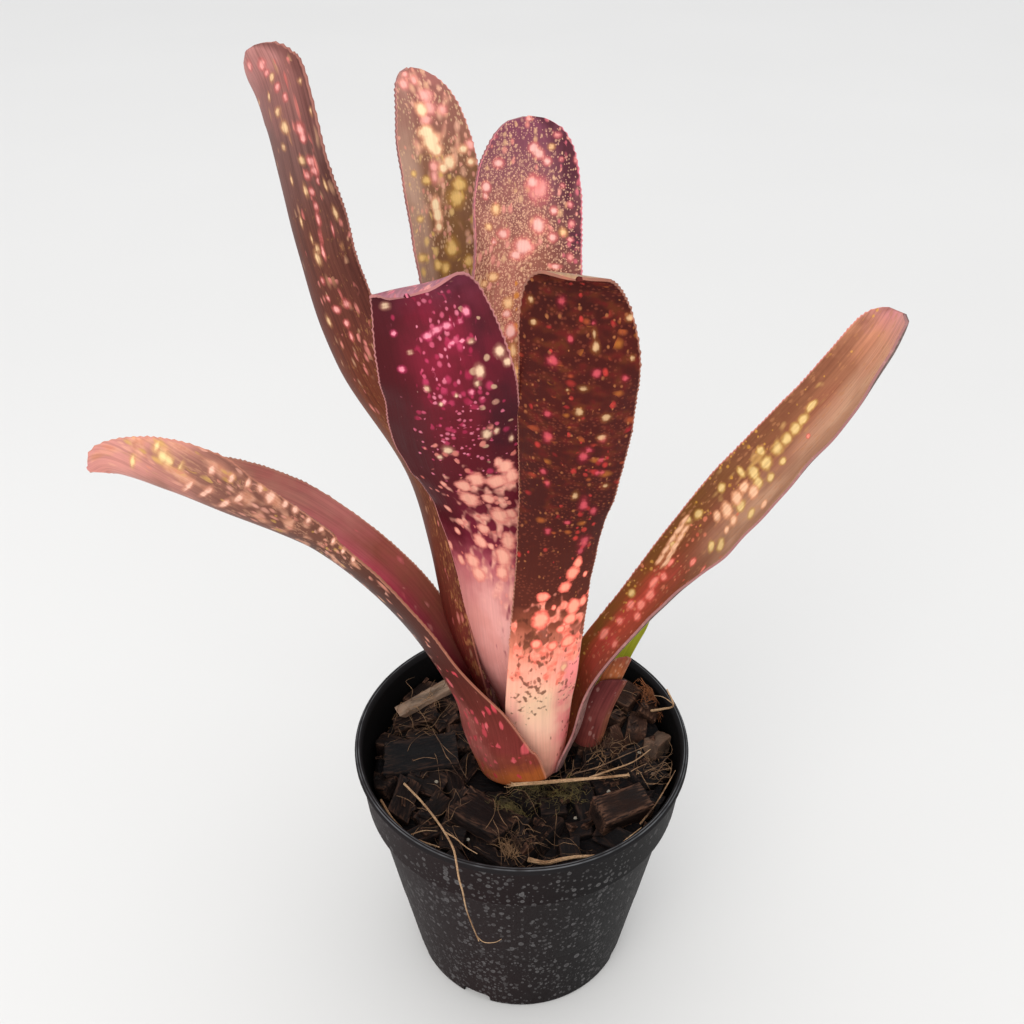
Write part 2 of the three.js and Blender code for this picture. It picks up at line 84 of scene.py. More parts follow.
area_light("key_light", (-0.5, -1.5, 1.3), (0, 0, 0.2), 1.8, 24, (1, 0.985, 0.96))
area_light("top_light", (0.35, 0.5, 2.5), (0, 0.2, 0.1), 2.6, 6)

world = bpy.data.worlds.new("studio")
bpy.context.scene.world = world
world.use_nodes = True
world.node_tree.nodes["Background"].inputs["Color"].default_value = (0.97, 0.98, 1.0, 1)
world.node_tree.nodes["Background"].inputs["Strength"].default_value = 1.1
print("camera lens:", round(camera.data.lens, 2), "mm")

# %% [markdown]
# ## A small paint box
# A material is a tree of nodes. Writing each node out would take pages, so this class adds a node,
# feeds its inputs and hands back its output in one call. The recipes below then read like a mixing
# list. Colours are given as they look on screen and turned to the linear values that nodes use.


# %% Paint box
def linear(hex_code):
    parts = [int(hex_code[i:i + 2], 16) / 255 for i in (0, 2, 4)]
    return tuple(c / 12.92 if c <= 0.04045 else ((c + 0.055) / 1.055) ** 2.4 for c in parts) + (1,)


class Paint:
    """One node tree, added to call by call. Each call returns the new node's output."""

    def __init__(self, tree):
        self.tree = tree

    def node(self, kind, feeds, out=0, **settings):
        new = self.tree.nodes.new("ShaderNode" + kind)
        for key, value in settings.items():
            setattr(new, key, value)
        for key, value in feeds.items():
            self.feed(new.inputs[key], value)
        return new.outputs[out] if out is not None else new

    def feed(self, socket, value):
        if isinstance(value, bpy.types.NodeSocket):
            self.tree.links.new(value, socket)
        elif isinstance(value, str):
            socket.default_value = linear(value)
        else:
            socket.default_value = value

    def math(self, operation, *values):
        return self.node("Math", dict(enumerate(values)), operation=operation)

    def times(self, a, b):
        return self.math("MULTIPLY", a, b)

    def plus(self, a, b):
        return self.math("ADD", a, b)

    def minus(self, a, b):
        return self.math("SUBTRACT", a, b)

    def smooth(self, x, low, high, start=0.0, end=1.0):
        """Rises from start at low to end at high. low may be above high."""
        return self.node("MapRange", {0: x, 1: low, 2: high, 3: start, 4: end}, interpolation_type="SMOOTHSTEP")

    def mixed(self, factor, a, b):
        return self.node("Mix", {0: factor, 6: a, 7: b}, out=2, data_type="RGBA")

    def ramp(self, x, stops):
        """stops are [(place, colour or grey level)]."""
        new = self.node("ValToRGB", {0: x}, out=None)
        band = new.color_ramp.elements
        while len(band) < len(stops):
            band.new(0.5)
        for element, (place, value) in zip(band, stops):
            element.position = place
            element.color = linear(value) if isinstance(value, str) else (value, value, value, 1)
        return new.outputs[0]

    def spread(self, vector, scale, shift=(0, 0, 0), turn=(0, 0, 0)):
        return self.node("Mapping", {0: vector, 1: shift, 2: turn, 3: scale})

    def noise(self, vector, size, detail=2.0, rough=0.5, out=0):
        """Cloudy noise whose lumps are about size across, in the vector's own unit."""
        feeds = {"Vector": vector, "Scale": 1 / size, "Detail": detail, "Roughness": rough}
        return self.node("TexNoise", feeds, out=out)

    def attribute(self, name):
        return self.node("Attribute", {}, out=None, attribute_name=name).outputs["Vector"]

    def split(self, vector):
        return self.node("SeparateXYZ", {0: vector}, out=None).outputs

    def join(self, x, y):
        return self.node("CombineXYZ", {0: x, 1: y})


def new_material(name):
    material = bpy.data.materials.new(name)
    material.use_nodes = True
    return material, Paint(material.node_tree), material.node_tree.nodes["Principled BSDF"]


def object_mm(paint):
    """Object coordinates in millimetres, through a Mapping node."""
    coordinates = paint.node("TexCoord", {}, out=3)
    return paint.spread(coordinates, (1000, 1000, 1000))


def bump(paint, shader, height, depth_mm, strength=1.0):
    feeds = {"Height": height, "Distance": depth_mm * MM, "Strength": strength}
    paint.feed(shader.inputs["Normal"], paint.node("Bump", feeds))


# %% [markdown]
# ## The table
# A matt light table with the faintest cloudiness, so that the shadow under the pot falls on something.

# %% Table finish
table_finish, paint, shader = new_material("table_white")
cloud = paint.noise(object_mm(paint), 400, 3)
paint.feed(shader.inputs["Base Color"], paint.mixed(cloud, "D2D1CF", "D7D6D4"))
shader.inputs["Roughness"].default_value = 0.7
floor.data.materials.append(table_finish)

# %% [markdown]
# ## Turned forms
# The pot is a moulding with the same section all round. A disc is extruded and scaled ring by ring
# along that section, as a turner would raise it, and it stays closed at both ends.


# %% Turned forms
def pick(obj):
    bpy.ops.object.select_all(action="DESELECT")
    obj.select_set(True)
    bpy.context.view_layer.objects.active = obj


def turned(name, profile, sides):
    """A closed form raised through [radius, height] points, in mm."""
    radius, height = profile[0]
    bpy.ops.mesh.primitive_circle_add(
        vertices=sides, radius=radius * MM, fill_type="NGON", location=(0, 0, height * MM))
    obj = bpy.context.object
    obj.name = name
    bpy.ops.object.transform_apply(location=True)
    bpy.ops.object.mode_set(mode="EDIT")
    bpy.ops.mesh.select_mode(type="FACE")
    bpy.ops.mesh.select_all(action="SELECT")
    for next_radius, next_height in profile[1:]:
        step = (0, 0, (next_height - height) * MM)
        bpy.ops.mesh.extrude_region_move(TRANSFORM_OT_translate={"value": step})
        share = next_radius / radius
        bpy.ops.transform.resize(value=(share, share, 1), center_override=(0, 0, next_height * MM))
        radius, height = next_radius, next_height
    bpy.ops.mesh.select_all(action="SELECT")
    bpy.ops.mesh.normals_make_consistent(inside=False)
    bpy.ops.object.mode_set(mode="OBJECT")
    return obj


def modify(obj, kind, **settings):
    """Adds a modifier, sets it and applies it."""
    pick(obj)
    modifier = obj.modifiers.new(kind.lower(), kind)
    for key, value in settings.items():
        setattr(modifier, key, value)
    bpy.ops.object.modifier_apply(modifier=modifier.name)


def smooth_by_angle(obj, degrees):
    pick(obj)
    bpy.ops.object.shade_smooth_by_angle(angle=math.radians(degrees))


def ready(obj, slot, *nodes):
    """A finished piece: it rides on the one body and stands for its CAD nodes."""
    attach(obj, "root")
    if nodes:
        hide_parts(*nodes)
    faces = len(obj.data.polygons)
    print(f"{obj.name}: {faces} faces")


# %% [markdown]
# ## The nursery pot
# A thin moulded pot: plain tapered wall, a deeper collar under the rim, a rounded lip and notches for
# drainage in the foot edge. It is turned with 120 sides so that no facet shows, and the notches are cut
# with a Boolean, the way the mould's inserts leave them. Seven of the part's eight are cut: the
# photograph shows a plain foot edge where the one nearest the front would be.

# %% Pot shape
RIM, BASE, HEIGHT, WALL, FLOOR = 65.0, 45.0, 113.0, 1.3, 1.6
COLLAR, COLLAR_IN = 89.0, 59.4
COLLAR_OUT = COLLAR_IN + 2.4
LIP_UNDER = 63.8
NOTCH_SIZE, NOTCH_BEVEL, NOTCH_START = (9, 12, 11), 1.6, 0.46
NOTCHES, NOTCHES_CUT = 8, (0, 1, 2, 3, 4, 5, 7)


def inner_wall(z):
    low = BASE + (COLLAR_IN - BASE) * z / COLLAR - WALL
    high = COLLAR_IN - WALL + (LIP_UNDER - COLLAR_IN) * (z - COLLAR) / (HEIGHT - COLLAR)
    return np.where(z < COLLAR, low, high)


def at_wall(z):
    return (float(inner_wall(z)), z)


pot = turned(
    "pot_moulding",
    [(42.8, 0.0), (43.5, 0.0), (44.5, 0.35), (45.0, 1.3), (45.25, 2.6), (51.6, 41.0), (51.7, 41.3),
     (51.85, 41.6), (59.3, 88.2), (59.6, 88.7), (COLLAR_OUT - 0.5, COLLAR - 0.1), (COLLAR_OUT, COLLAR + 0.5),
     (COLLAR_OUT + 0.2, COLLAR + 1.6), (LIP_UNDER - 0.1, 109.6), (LIP_UNDER + 0.15, 110.3), (64.6, 110.6),
     (RIM, 111.1), (RIM, 111.9), (64.7, 112.6), (64.1, HEIGHT), (63.2, HEIGHT), (62.75, 112.75),
     at_wall(112.0), at_wall(100.0), at_wall(COLLAR), at_wall(40.0), at_wall(4.0), (43.2, FLOOR),
     (43.0, FLOOR)],
    120)

bpy.ops.mesh.primitive_cube_add(size=1)
notches = bpy.context.object
bpy.ops.transform.resize(value=[side * MM for side in NOTCH_SIZE])
bpy.ops.object.transform_apply(scale=True)
modify(notches, "BEVEL", width=NOTCH_BEVEL * MM, segments=3)
notch_shape = [v.co.copy() for v in notches.data.vertices]
cutters = []
for k in NOTCHES_CUT:
    cutter = notches if k == 0 else notches.copy()
    if k:
        cutter.data = notches.data.copy()
        bpy.context.collection.objects.link(cutter)
    angle = (k + NOTCH_START) / NOTCHES * 2 * math.pi
    turn = Matrix.Rotation(angle, 4, "Z") @ Matrix.Translation((BASE * MM, 0, 0))
    for vertex, place in zip(cutter.data.vertices, notch_shape):
        vertex.co = turn @ place
    cutters.append(cutter)
for cutter in cutters:
    modify(pot, "BOOLEAN", operation="DIFFERENCE", object=cutter, solver="EXACT")
for cutter in cutters:
    bpy.data.objects.remove(cutter)
smooth_by_angle(pot, 35)

# %% [markdown]
# ## Pot finish
# The plastic is black with painted maroon light on its left side, and it has been splashed for months with hard
# water.
# Each drop dried to a grey ring-edged spot, and the drops ran downwards, so the spots are taller than
# wide. Three layers of cell noise, coarse to fine and stretched down the wall, give them. A thin painted
# highlight runs along the collar step, and the lip gets a painted sheen with two highlight rings.

# %% Pot finish
MEAN_REACH, WALL_LEAN, LIP_HIGHLIGHT_RINGS = 56, 0.1618, (63.4, 64.3)
plastic, paint, shader = new_material("black_plastic")
place = object_mm(paint)
x, y, z = paint.split(place)
around = paint.times(paint.math("ARCTAN2", x, paint.times(y, -1)), MEAN_REACH)
wall = paint.join(around, z)
reach = paint.node("VectorMath", {0: paint.join(x, y)}, out=1, operation="LENGTH")
in_the_wall = paint.math("MULTIPLY_ADD", z, WALL_LEAN, BASE - WALL / 2)
outside = paint.smooth(paint.minus(reach, in_the_wall), 0.0, 0.25)
# Painted light: the left side of the pot is tinted maroon for the light that falls on it there.
tint = paint.mixed(paint.smooth(x, 35, -20), "0A090A", "1D0F10")
tint = paint.mixed(paint.times(paint.noise(place, 26, 3), 0.6), tint, "0F0B0C")
tint = paint.mixed(outside, "0B0A0A", tint)


def water_spots(paint, place, cell, radius, amount, drift):
    """Dried drops: a pale disc with a brighter rim, on part of the cells only."""
    wobble = paint.node(
        "VectorMath", {0: paint.noise(place, cell * 0.6, 2, out=1), 3: cell * 0.16}, operation="SCALE")
    moved = paint.node("VectorMath", {0: place, 1: wobble})
    cells = paint.node(
        "TexVoronoi", {"Vector": paint.spread(moved, (1 / cell, 0.8 / cell, 1), drift), "Scale": 1.0},
        out=None, voronoi_dimensions="2D")
    chance, scale, strength = paint.split(cells.outputs["Color"])
    reach = paint.math("MULTIPLY_ADD", scale, radius / cell * 0.9, radius / cell * 0.55)
    ratio = paint.math("DIVIDE", cells.outputs["Distance"], reach)
    disc = paint.smooth(ratio, 1.2, 0.75)
    rim = paint.times(paint.smooth(ratio, 0.4, 0.85, 0.6, 1.0), disc)
    there = paint.smooth(paint.minus(amount, chance), 0.0, 0.04)
    return paint.times(rim, paint.times(there, paint.math("MULTIPLY_ADD", strength, 0.6, 0.4)))


streaks = paint.noise(paint.spread(wall, (1, 0.45, 1), turn=(0, 0, 0.25)), 15, 3)
crowd = paint.smooth(streaks, 0.32, 0.62)
lower = paint.smooth(z, 112, 65, 0.55, 1.0)
big = water_spots(
    paint, wall, 4.2, 0.85, paint.times(paint.math("MULTIPLY_ADD", crowd, 0.26, 0.12), lower), (3, 1, 0))
medium = water_spots(
    paint, wall, 2.8, 0.6, paint.times(paint.math("MULTIPLY_ADD", crowd, 0.6, 0.22), lower), (11, 5, 0))
small = water_spots(paint, wall, 1.6, 0.32, paint.math("MULTIPLY_ADD", crowd, 0.45, 0.1), (9, 4, 0))
smaller = paint.math("MAXIMUM", paint.times(medium, 0.85), paint.times(small, 0.7))
spots = paint.math("MAXIMUM", paint.times(big, 0.9), smaller)
spots = paint.times(spots, paint.times(outside, paint.smooth(z, 110.4, 109.2)))
dust = paint.smooth(paint.noise(place, 0.8, 3, 0.7), 0.6, 0.8)
colour = paint.mixed(paint.times(spots, 0.6), tint, "7A7878")
colour = paint.mixed(paint.times(dust, 0.03), colour, "8A8480")
# Painted highlight: a thin pale line along the collar step, stronger where the spots crowd.
collar_highlight = paint.times(paint.smooth(paint.math("ABSOLUTE", paint.minus(z, COLLAR - 0.4)), 0.5, 0.1), crowd)
colour = paint.mixed(paint.times(collar_highlight, 0.22), colour, "8A8685")
# Painted sheen and highlights: the lip is painted lighter, with two broken pale rings on it.
lip = paint.smooth(z, 110.2, 111.2)
colour = paint.mixed(paint.times(lip, 0.7), colour, "1E1D1E")
for ring in LIP_HIGHLIGHT_RINGS:
    line = paint.smooth(paint.math("ABSOLUTE", paint.minus(reach, ring)), 0.3, 0.05)
    line = paint.times(paint.times(line, lip), paint.smooth(paint.noise(place, 9, 3), 0.3, 0.6, 0.15, 0.6))
    colour = paint.mixed(line, colour, "6C6E70")
paint.feed(shader.inputs["Base Color"], colour)
paint.feed(shader.inputs["Roughness"], paint.math("MULTIPLY_ADD", spots, 0.2, 0.55))
shader.inputs["Specular IOR Level"].default_value = 0.05
fine = paint.noise(place, 0.5, 3, 0.6)
bump(paint, shader, paint.plus(paint.times(fine, 0.35), paint.times(spots, 0.25)), 0.12)
pot.data.materials.append(plastic)
ready(pot, "pot_plastic", "pot")

# %% [markdown]
# ## The strap leaves
# Each leaf starts as a sheath wrapped round the crown, gathered in where it sinks into the bark, and
# opens into a channelled blade. A flat grid is the natural start, because it has the leaf's rows and
# columns. Every row is then bent to an arc of the leaf's width and curl radius at that place along a
# smooth midrib, the margins get teeth and a slow wave, and Solidify gives the blade its thickness.

# %% Midrib and sections
SHEATH_FOOT, FIRST_SHEATH, SHEATH_STEP = 92.0, 7.5, 1.55
CROWN = (3.0, 3.0)
SHEATH_WALL, BLADE_WALL, MARGIN_WALL = 0.8, 1.2, 0.75


def mix(a, b, t):
    return a + (b - a) * t


def rise(start, end, x):
    t = np.clip((np.asarray(x, float) - start) / (end - start), 0, 1)
    return t * t * (3 - 2 * t)


def smooth_line(points, steps=40):
    """A curve through the points, at an even pace whatever their spacing."""
    p = np.array(points, float)
    p = np.vstack([2 * p[0] - p[1], p, 2 * p[-1] - p[-2]])
    t = np.linspace(0, 1, steps, endpoint=False)[:, None]
    line = []
    for a, b, c, d in zip(p, p[1:], p[2:], p[3:]):
        ta, tb, tc = (math.sqrt(np.linalg.norm(q - o)) for o, q in ((a, b), (b, c), (c, d)))
        leave = ((b - a) / ta - (c - a) / (ta + tb) + (c - b) / tb) * tb
        arrive = ((c - b) / tb - (d - b) / (tb + tc) + (d - c) / tc) * tb
        line.append(b + leave * t + (3 * (c - b) - 2 * leave - arrive) * t ** 2
                    + (2 * (b - c) + leave + arrive) * t ** 3)
    return np.vstack(line + [p[-2][None]])


def evenly(line, count):
    """count points along the line at equal distances, and the line's length."""
    reach = np.concatenate([[0], np.cumsum(np.linalg.norm(np.diff(line, axis=0), axis=1))])
    stops = np.linspace(0, reach[-1], count)
    return np.stack([np.interp(stops, reach, line[:, i]) for i in range(3)], 1), reach[-1]


def midrib_frames(leaf, rows):
    """Points, directions and outward normals along a leaf's midrib."""
    angle = math.radians(leaf["azimuth"])
    away = np.array([math.cos(angle), math.sin(angle), 0])
    side = np.array([-away[1], away[0], 0])
    centre = np.array([*leaf["crown"], 0])
    points = [centre + away * r + side * w + [0, 0, z] for r, w, z in leaf["midrib"]]
    at, length = evenly(smooth_line(points), rows)
    along = np.gradient(at, axis=0)
    along /= np.linalg.norm(along, axis=1)[:, None]
    outward = np.empty_like(at)
    held = away
    for i, direction in enumerate(along):
        held = held - direction * (held @ direction)
        held /= np.linalg.norm(held)
        outward[i] = held
    return at, along, outward, length


def leaf_section(leaf, length, s):
    """Width, curl radius, wall at the middle and margin, and roll, along the leaf."""
    u = s / length
    opened = rise(*leaf["opens"], u)
    back = np.clip(1 - (length - s) / leaf["rounding"], 0, 1)
    power, root = leaf["apex"]
    taper = np.clip(1 - back ** power, 0, 1) ** root
    gather = mix(leaf["gather"], 1, rise(-4, 13, s))
    width = mix(leaf["sheath"], leaf["blade"], rise(*leaf["narrows"], u)) * taper * gather
    curl = mix(leaf["sheath_radius"] * gather, leaf["curl"], opened)
    curl = curl * (1 + leaf["flat"] * rise(length - 50, length - 8, s))
    roll = mix(leaf["roll"][0], leaf["roll"][1], rise(*leaf["turns"], u)) * rise(0, 0.3, u)
    middle = mix(SHEATH_WALL, BLADE_WALL, opened)
    margin = mix(SHEATH_WALL, MARGIN_WALL, opened)
    return np.maximum(width, leaf["tip"]), curl, np.radians(roll), middle, margin


# %% [markdown]
# The teeth are short and lean towards the tip. The margin's wave is a few slow sine waves with the
# leaf's own seed, and it grows towards the tip, where the real blades buckle most.

# %% Leaf builder
ROW_PITCH = 0.9
TOOTH_ROWS = 2
TOOTH = (0.12, 0.42)


def margin_wave(random, s, length, size):
    """A slow uneven wave in mm along one margin."""
    wave = np.zeros_like(s)
    for period in (58, 31, 17):
        wave += np.sin(s / period * 2 * math.pi + random.uniform(0, 6.3)) * period / 58
    return wave * size * rise(0.25, 0.6, s / length)


def leaf_points(leaf, rows, columns):
    """The blade's middle surface as a grid of points, with its coordinates on the blade."""
    at, along, outward, length = midrib_frames(leaf, rows)
    s = np.linspace(0, length, rows)
    width, curl, roll, middle, margin = leaf_section(leaf, length, s)
    turned_out = outward * np.cos(roll)[:, None] + np.cross(along, outward) * np.sin(roll)[:, None]
    across = np.cross(along, turned_out)
    random = np.random.default_rng(leaf["seed"])
    waves = [margin_wave(random, s, length, leaf["wave"]) for _ in range(2)]
    k = np.linspace(-1, 1, columns)
    grid = np.zeros((rows, columns, 3))
    blade = np.zeros((rows, columns, 3))
    wall = np.zeros((rows, columns))
    for i in range(rows):
        reach = k * width[i] / 2
        tooth = (i % TOOTH_ROWS == 0) and leaf["teeth"] < s[i] < length - 3
        forward = np.zeros(columns)
        if tooth:
            for j in (0, columns - 1):
                reach[j] += math.copysign(random.uniform(*TOOTH), k[j])
                forward[j] = 0.3
        angle = reach / curl[i]
        lift = np.where(k < 0, waves[0][i], waves[1][i]) * np.abs(k) ** 3
        radius = curl[i] + lift
        grid[i] = (at[i] + across[i] * (radius * np.sin(angle))[:, None]
                   + turned_out[i] * (radius * np.cos(angle) - curl[i])[:, None]
                   + along[i] * forward[:, None])
        blade[i] = np.stack([reach, np.full(columns, s[i]), np.full(columns, 0.0)], 1)
        wall[i] = mix(middle[i], margin[i], k * k)
    share = np.stack(np.broadcast_arrays(k[None, :], (s / length)[:, None], 0.0), 2)
    return grid, blade, share, wall


def add_attribute(obj, name, values):
    """Three numbers for each point of the mesh, for the finish to read."""
    layer = obj.data.attributes.new(name, "FLOAT_VECTOR", "POINT")
    layer.data.foreach_set("vector", np.asarray(values, np.float32).ravel())


def strap(name, leaf, columns=44):
    """A leaf from a flat grid: bent to its sections, then given a wall."""
    _, _, _, length = midrib_frames(leaf, 60)
    rows = int(length / ROW_PITCH) // TOOTH_ROWS * TOOTH_ROWS + 2
    bpy.ops.mesh.primitive_grid_add(x_subdivisions=columns - 1, y_subdivisions=rows - 1, size=2)
    obj = bpy.context.object
    obj.name = name
    flat = np.empty(len(obj.data.vertices) * 3)
    obj.data.vertices.foreach_get("co", flat)
    flat = flat.reshape(-1, 3)
    column = np.rint((flat[:, 0] + 1) / 2 * (columns - 1)).astype(int)
    row = np.rint((flat[:, 1] + 1) / 2 * (rows - 1)).astype(int)
    grid, blade, share, wall = leaf_points(leaf, rows, columns)
    obj.data.vertices.foreach_set("co", (grid[row, column] * MM).ravel())
    add_attribute(obj, "blade", blade[row, column])
    add_attribute(obj, "share", share[row, column])
    group = obj.vertex_groups.new(name="wall")
    for _ in ("outer face", "inner face"):
        obj.data.materials.append(None)
    thickest = float(wall.max())
    for vertex, weight in enumerate(wall[row, column] / thickest):
        group.add([vertex], float(weight), "REPLACE")
    obj.data.update()
    modify(obj, "SOLIDIFY", thickness=thickest * MM, offset=0, vertex_group="wall",
           material_offset=1, material_offset_rim=0, use_even_offset=True)
    smooth_by_angle(obj, 50)
    return obj


# %% [markdown]
# The measures below began as the part's own and were moved by a few millimetres, until the outlines lay
# close to the photograph's. The midrib is given as (reach from the crown, sway, height) in mm. Then come
# the widths of sheath and blade, the curl radius, and where along the leaf each change happens, from 0
# at the foot to 1 at the tip. The low left leaf has a broader, rounder sheath than its rank would give.

# %% The seven leaves
LEAVES = {
    "leaf_front_left": dict(
        azimuth=-126, slot="leaf_burgundy", seed=3,
        midrib=[
            (9, 0, 125), (17.7, 0, 163.7), (19.6, -3.9, 215.6), (40.1, 1.9, 256.7), (55.7, 10.3, 294.8),
            (56, 4.1, 318.4), (60, 5.4, 322.6), (66, 7.4, 323)],
        sheath=26, blade=38, curl=45.9, flat=1.1, roll=(4.5, 33), rounding=44, teeth=90, narrows=(0.26, 0.48),
        opens=(0.06, 0.36), turns=(0.31, 0.82), apex=(1.65, 0.35)),
    "leaf_back_right": dict(
        azimuth=91, slot="leaf_rose", seed=5,
        midrib=[
            (11, 0, 125), (16, 0, 180), (22, 2.1, 240), (29.6, 3.4, 289.6), (43.8, 1.1, 322.7),
            (47.4, 1.5, 336.6)],
        sheath=24, blade=40.6, curl=33.2, flat=1.7, roll=(-14.6, 32), rounding=31, teeth=135,
        turns=(0.47, 0.96), apex=(2.62, 0.42)),
    "leaf_back_left": dict(
        azimuth=125, slot="leaf_olive_brown", seed=7,
        midrib=[
            (14.5, 0, 125), (24, 0, 175), (35.6, 0.4, 239.8), (42.4, 2.3, 290.5), (59.4, 0.7, 340.4),
            (66.4, 1.3, 349.6)],
        sheath=30, blade=28.8, curl=36.2, flat=0.7, roll=(-13.6, 6.6), rounding=44, teeth=135,
        turns=(0.43, 1.09), apex=(2.89, 0.44)),
    "leaf_left_tall": dict(
        azimuth=161, slot="leaf_dark_brown", seed=11,
        midrib=[
            (17.5, 0, 122), (24.8, 9.9, 159.5), (44, -5, 214.6), (64.7, 2.4, 261.6), (76.2, 2.1, 300.6),
            (81.4, 2.2, 340.6), (86.4, -2.7, 351.4), (91.4, -4.5, 359.3)],
        sheath=20, blade=44.4, curl=20.7, flat=1.4, roll=(53.7, 47.1), rounding=17.6, teeth=110,
        narrows=(0.33, 0.69), opens=(0, 0.1), turns=(0.69, 0.79), apex=(2.62, 0.57)),
    "leaf_front_right": dict(
        azimuth=-70, slot="leaf_maroon", seed=13,
        midrib=[
            (14, 0, 112), (16, -1.7, 135.1), (23.6, -4, 160.3), (26.4, -1.8, 209), (38.4, -3.7, 253.6),
            (53.4, -8.1, 299.6), (53.8, -10.1, 320.5), (58.5, -11.8, 328.2), (65.5, -14, 331.2)],
        sheath=26.2, blade=32.8, curl=46.2, flat=1.8, roll=(-7.8, -28.8), rounding=46, teeth=90,
        narrows=(0.5, 0.78), opens=(0.04, 0.34), turns=(0.44, 0.66), apex=(2.53, 0.6)),
    "leaf_right_low": dict(
        azimuth=6, slot="leaf_bronze", seed=17,
        midrib=[
            (20, 0, 118), (25.3, -2.3, 145.5), (49.5, 1.9, 176.6), (74.7, 0.2, 213.9), (101.9, -0.9, 252.5),
            (114.4, 0.3, 273.3), (119.3, 1.9, 283.9)],
        sheath=26.2, blade=39.8, curl=31.4, roll=(3.2, -13), rounding=14.6, teeth=70, narrows=(0.3, 0.62),
        opens=(0.39, 0.61), turns=(0.67, 1.1), apex=(3.07, 0.35)),
    "leaf_left_low": dict(
        azimuth=182, slot="leaf_bronze", seed=19,
        midrib=[
            (25.4, 0.6, 116), (29.2, 1.8, 137), (49.6, -2, 175.3), (78.1, -12.4, 197), (106.3, 2.8, 224),
            (118.2, 7.4, 234.7), (138.8, 2.1, 241.6), (145.1, 1.2, 238.5)],
        sheath_radius=21.6, sheath=80, blade=44.4, curl=13, roll=(5.6, 73), turns=(0.63, 1.07), rounding=38,
        teeth=80, narrows=(0.09, 0.34), opens=(0.4, 0.75), apex=(1.5, 0.88))}
PLAIN = dict(
    turns=(0.3, 0.95), crown=CROWN, flat=0, roll=(0, 0), narrows=(0.15, 0.7), opens=(0.2, 0.7), wave=0.5,
    tip=1.6, apex=(2, 0.5), teeth=1e6, gather=1)
GATHER = 0.62

leaves = {}
for rank, (name, shape) in enumerate(LEAVES.items()):
    radius = shape.get("sheath_radius", FIRST_SHEATH + rank * SHEATH_STEP)
    foot = [
        (GATHER * radius, 0, SHEATH_FOOT), (0.88 * radius, 0, SHEATH_FOOT + 4), (radius, 0, SHEATH_FOOT + 11)]
    leaf = {**PLAIN, **shape, "sheath_radius": radius, "gather": GATHER, "midrib": foot + shape["midrib"]}
    leaves[name] = strap(name.replace("leaf", "blade"), leaf)
    print(name, "faces:", len(leaves[name].data.polygons))

# %% [markdown]
# ## The offset
# A young shoot stands against the plant at the right: two papery bracts round a short green leaf. They
# are straps as well, only small, without teeth, and their crown leans a little outwards.

# %% Offset shapes
OFFSET_CROWN = (26.5, 9.5)
OFFSET = {
    "offset_outer_bract": dict(
        azimuth=-65, slot="bract", sheath_radius=6, sheath=20, blade=17, curl=7, rounding=9, seed=23,
        midrib=[(6, 0, 87), (6.2, 0, 101), (6.6, 2.8, 118), (7, 6.8, 129), (7.5, 9.8, 135.5)]),
    "offset_inner_bract": dict(
        azimuth=-65, slot="bract", sheath_radius=4.4, sheath=14, blade=12, curl=5.5, rounding=8, seed=29,
        midrib=[(4.4, 0, 93), (4.6, 0, 103), (4.8, 2.8, 118), (5, 7.8, 132), (5.4, 12.6, 144.5)]),
    "offset_leaf": dict(
        azimuth=115, slot="leaf_green", sheath_radius=3.2, sheath=9, blade=12, curl=9, rounding=12, seed=31,
        midrib=[(3.2, 0, 93), (3.2, -1, 103), (4, -5, 116), (7, -15, 133), (8.5, -24, 147), (9, -30, 154)]),
}
for name, shape in OFFSET.items():
    leaf = {**PLAIN, "narrows": (0.1, 0.6), "wave": 0.2, **shape, "crown": OFFSET_CROWN}
    leaves[name] = strap(name.replace("leaf", "blade") + "_fine", leaf, 16)
print("leaves and bracts:", len(leaves))

# %% [markdown]
# ## The bark mix
# The pot is filled with coarse bark and charcoal. Each chip is a block whose corners are worn in by
# seeded amounts, as in the part. Here the block is cut fine, its edges are broken, its faces grooved
# along the grain, and it is kept inside the pot and out of the plants.

# %% Chip shapes
CORNERS = np.array([(1, 1, 1), (1, 1, -1), (1, -1, 1), (1, -1, -1), (-1, 1, -1), (-1, 1, 1), (-1, -1, -1),
                    (-1, -1, 1)], float)


def sequence(seed):
    """Seeded numbers from 0 to 1, the same on every run."""
    state = seed
    while True:
        state = (state * 1664525 + 1013904223) % 4294967296
        yield state / 4294967296


def worn_corners(size, draw, wear):
    return np.array([[c * s / 2 * (1 - wear * next(draw)) for c, s in zip(corner, size)] for corner in CORNERS])


def turned_by(degrees):
    a, b, c = (math.radians(d) for d in degrees)
    return np.array(Matrix.Rotation(a, 3, "X") @ Matrix.Rotation(b, 3, "Y") @ Matrix.Rotation(c, 3, "Z"))


def block(cuts):
    """A unit block cut into even squares: its points, for copying."""
    bpy.ops.mesh.primitive_cube_add(size=1)
    obj = bpy.context.object
    bpy.ops.object.mode_set(mode="EDIT")
    bpy.ops.mesh.select_all(action="SELECT")
    bpy.ops.mesh.subdivide(number_cuts=cuts)
    bpy.ops.object.mode_set(mode="OBJECT")
    return obj, np.array([v.co for v in obj.data.vertices]) + 0.5


def noisy(points, size, seed=0.0):
    """Noise from -1 to 1 at each point, with lumps about size across."""
    return np.array([noise.noise(Vector(p) / size + Vector((seed, seed * 1.7, -seed))) for p in points])


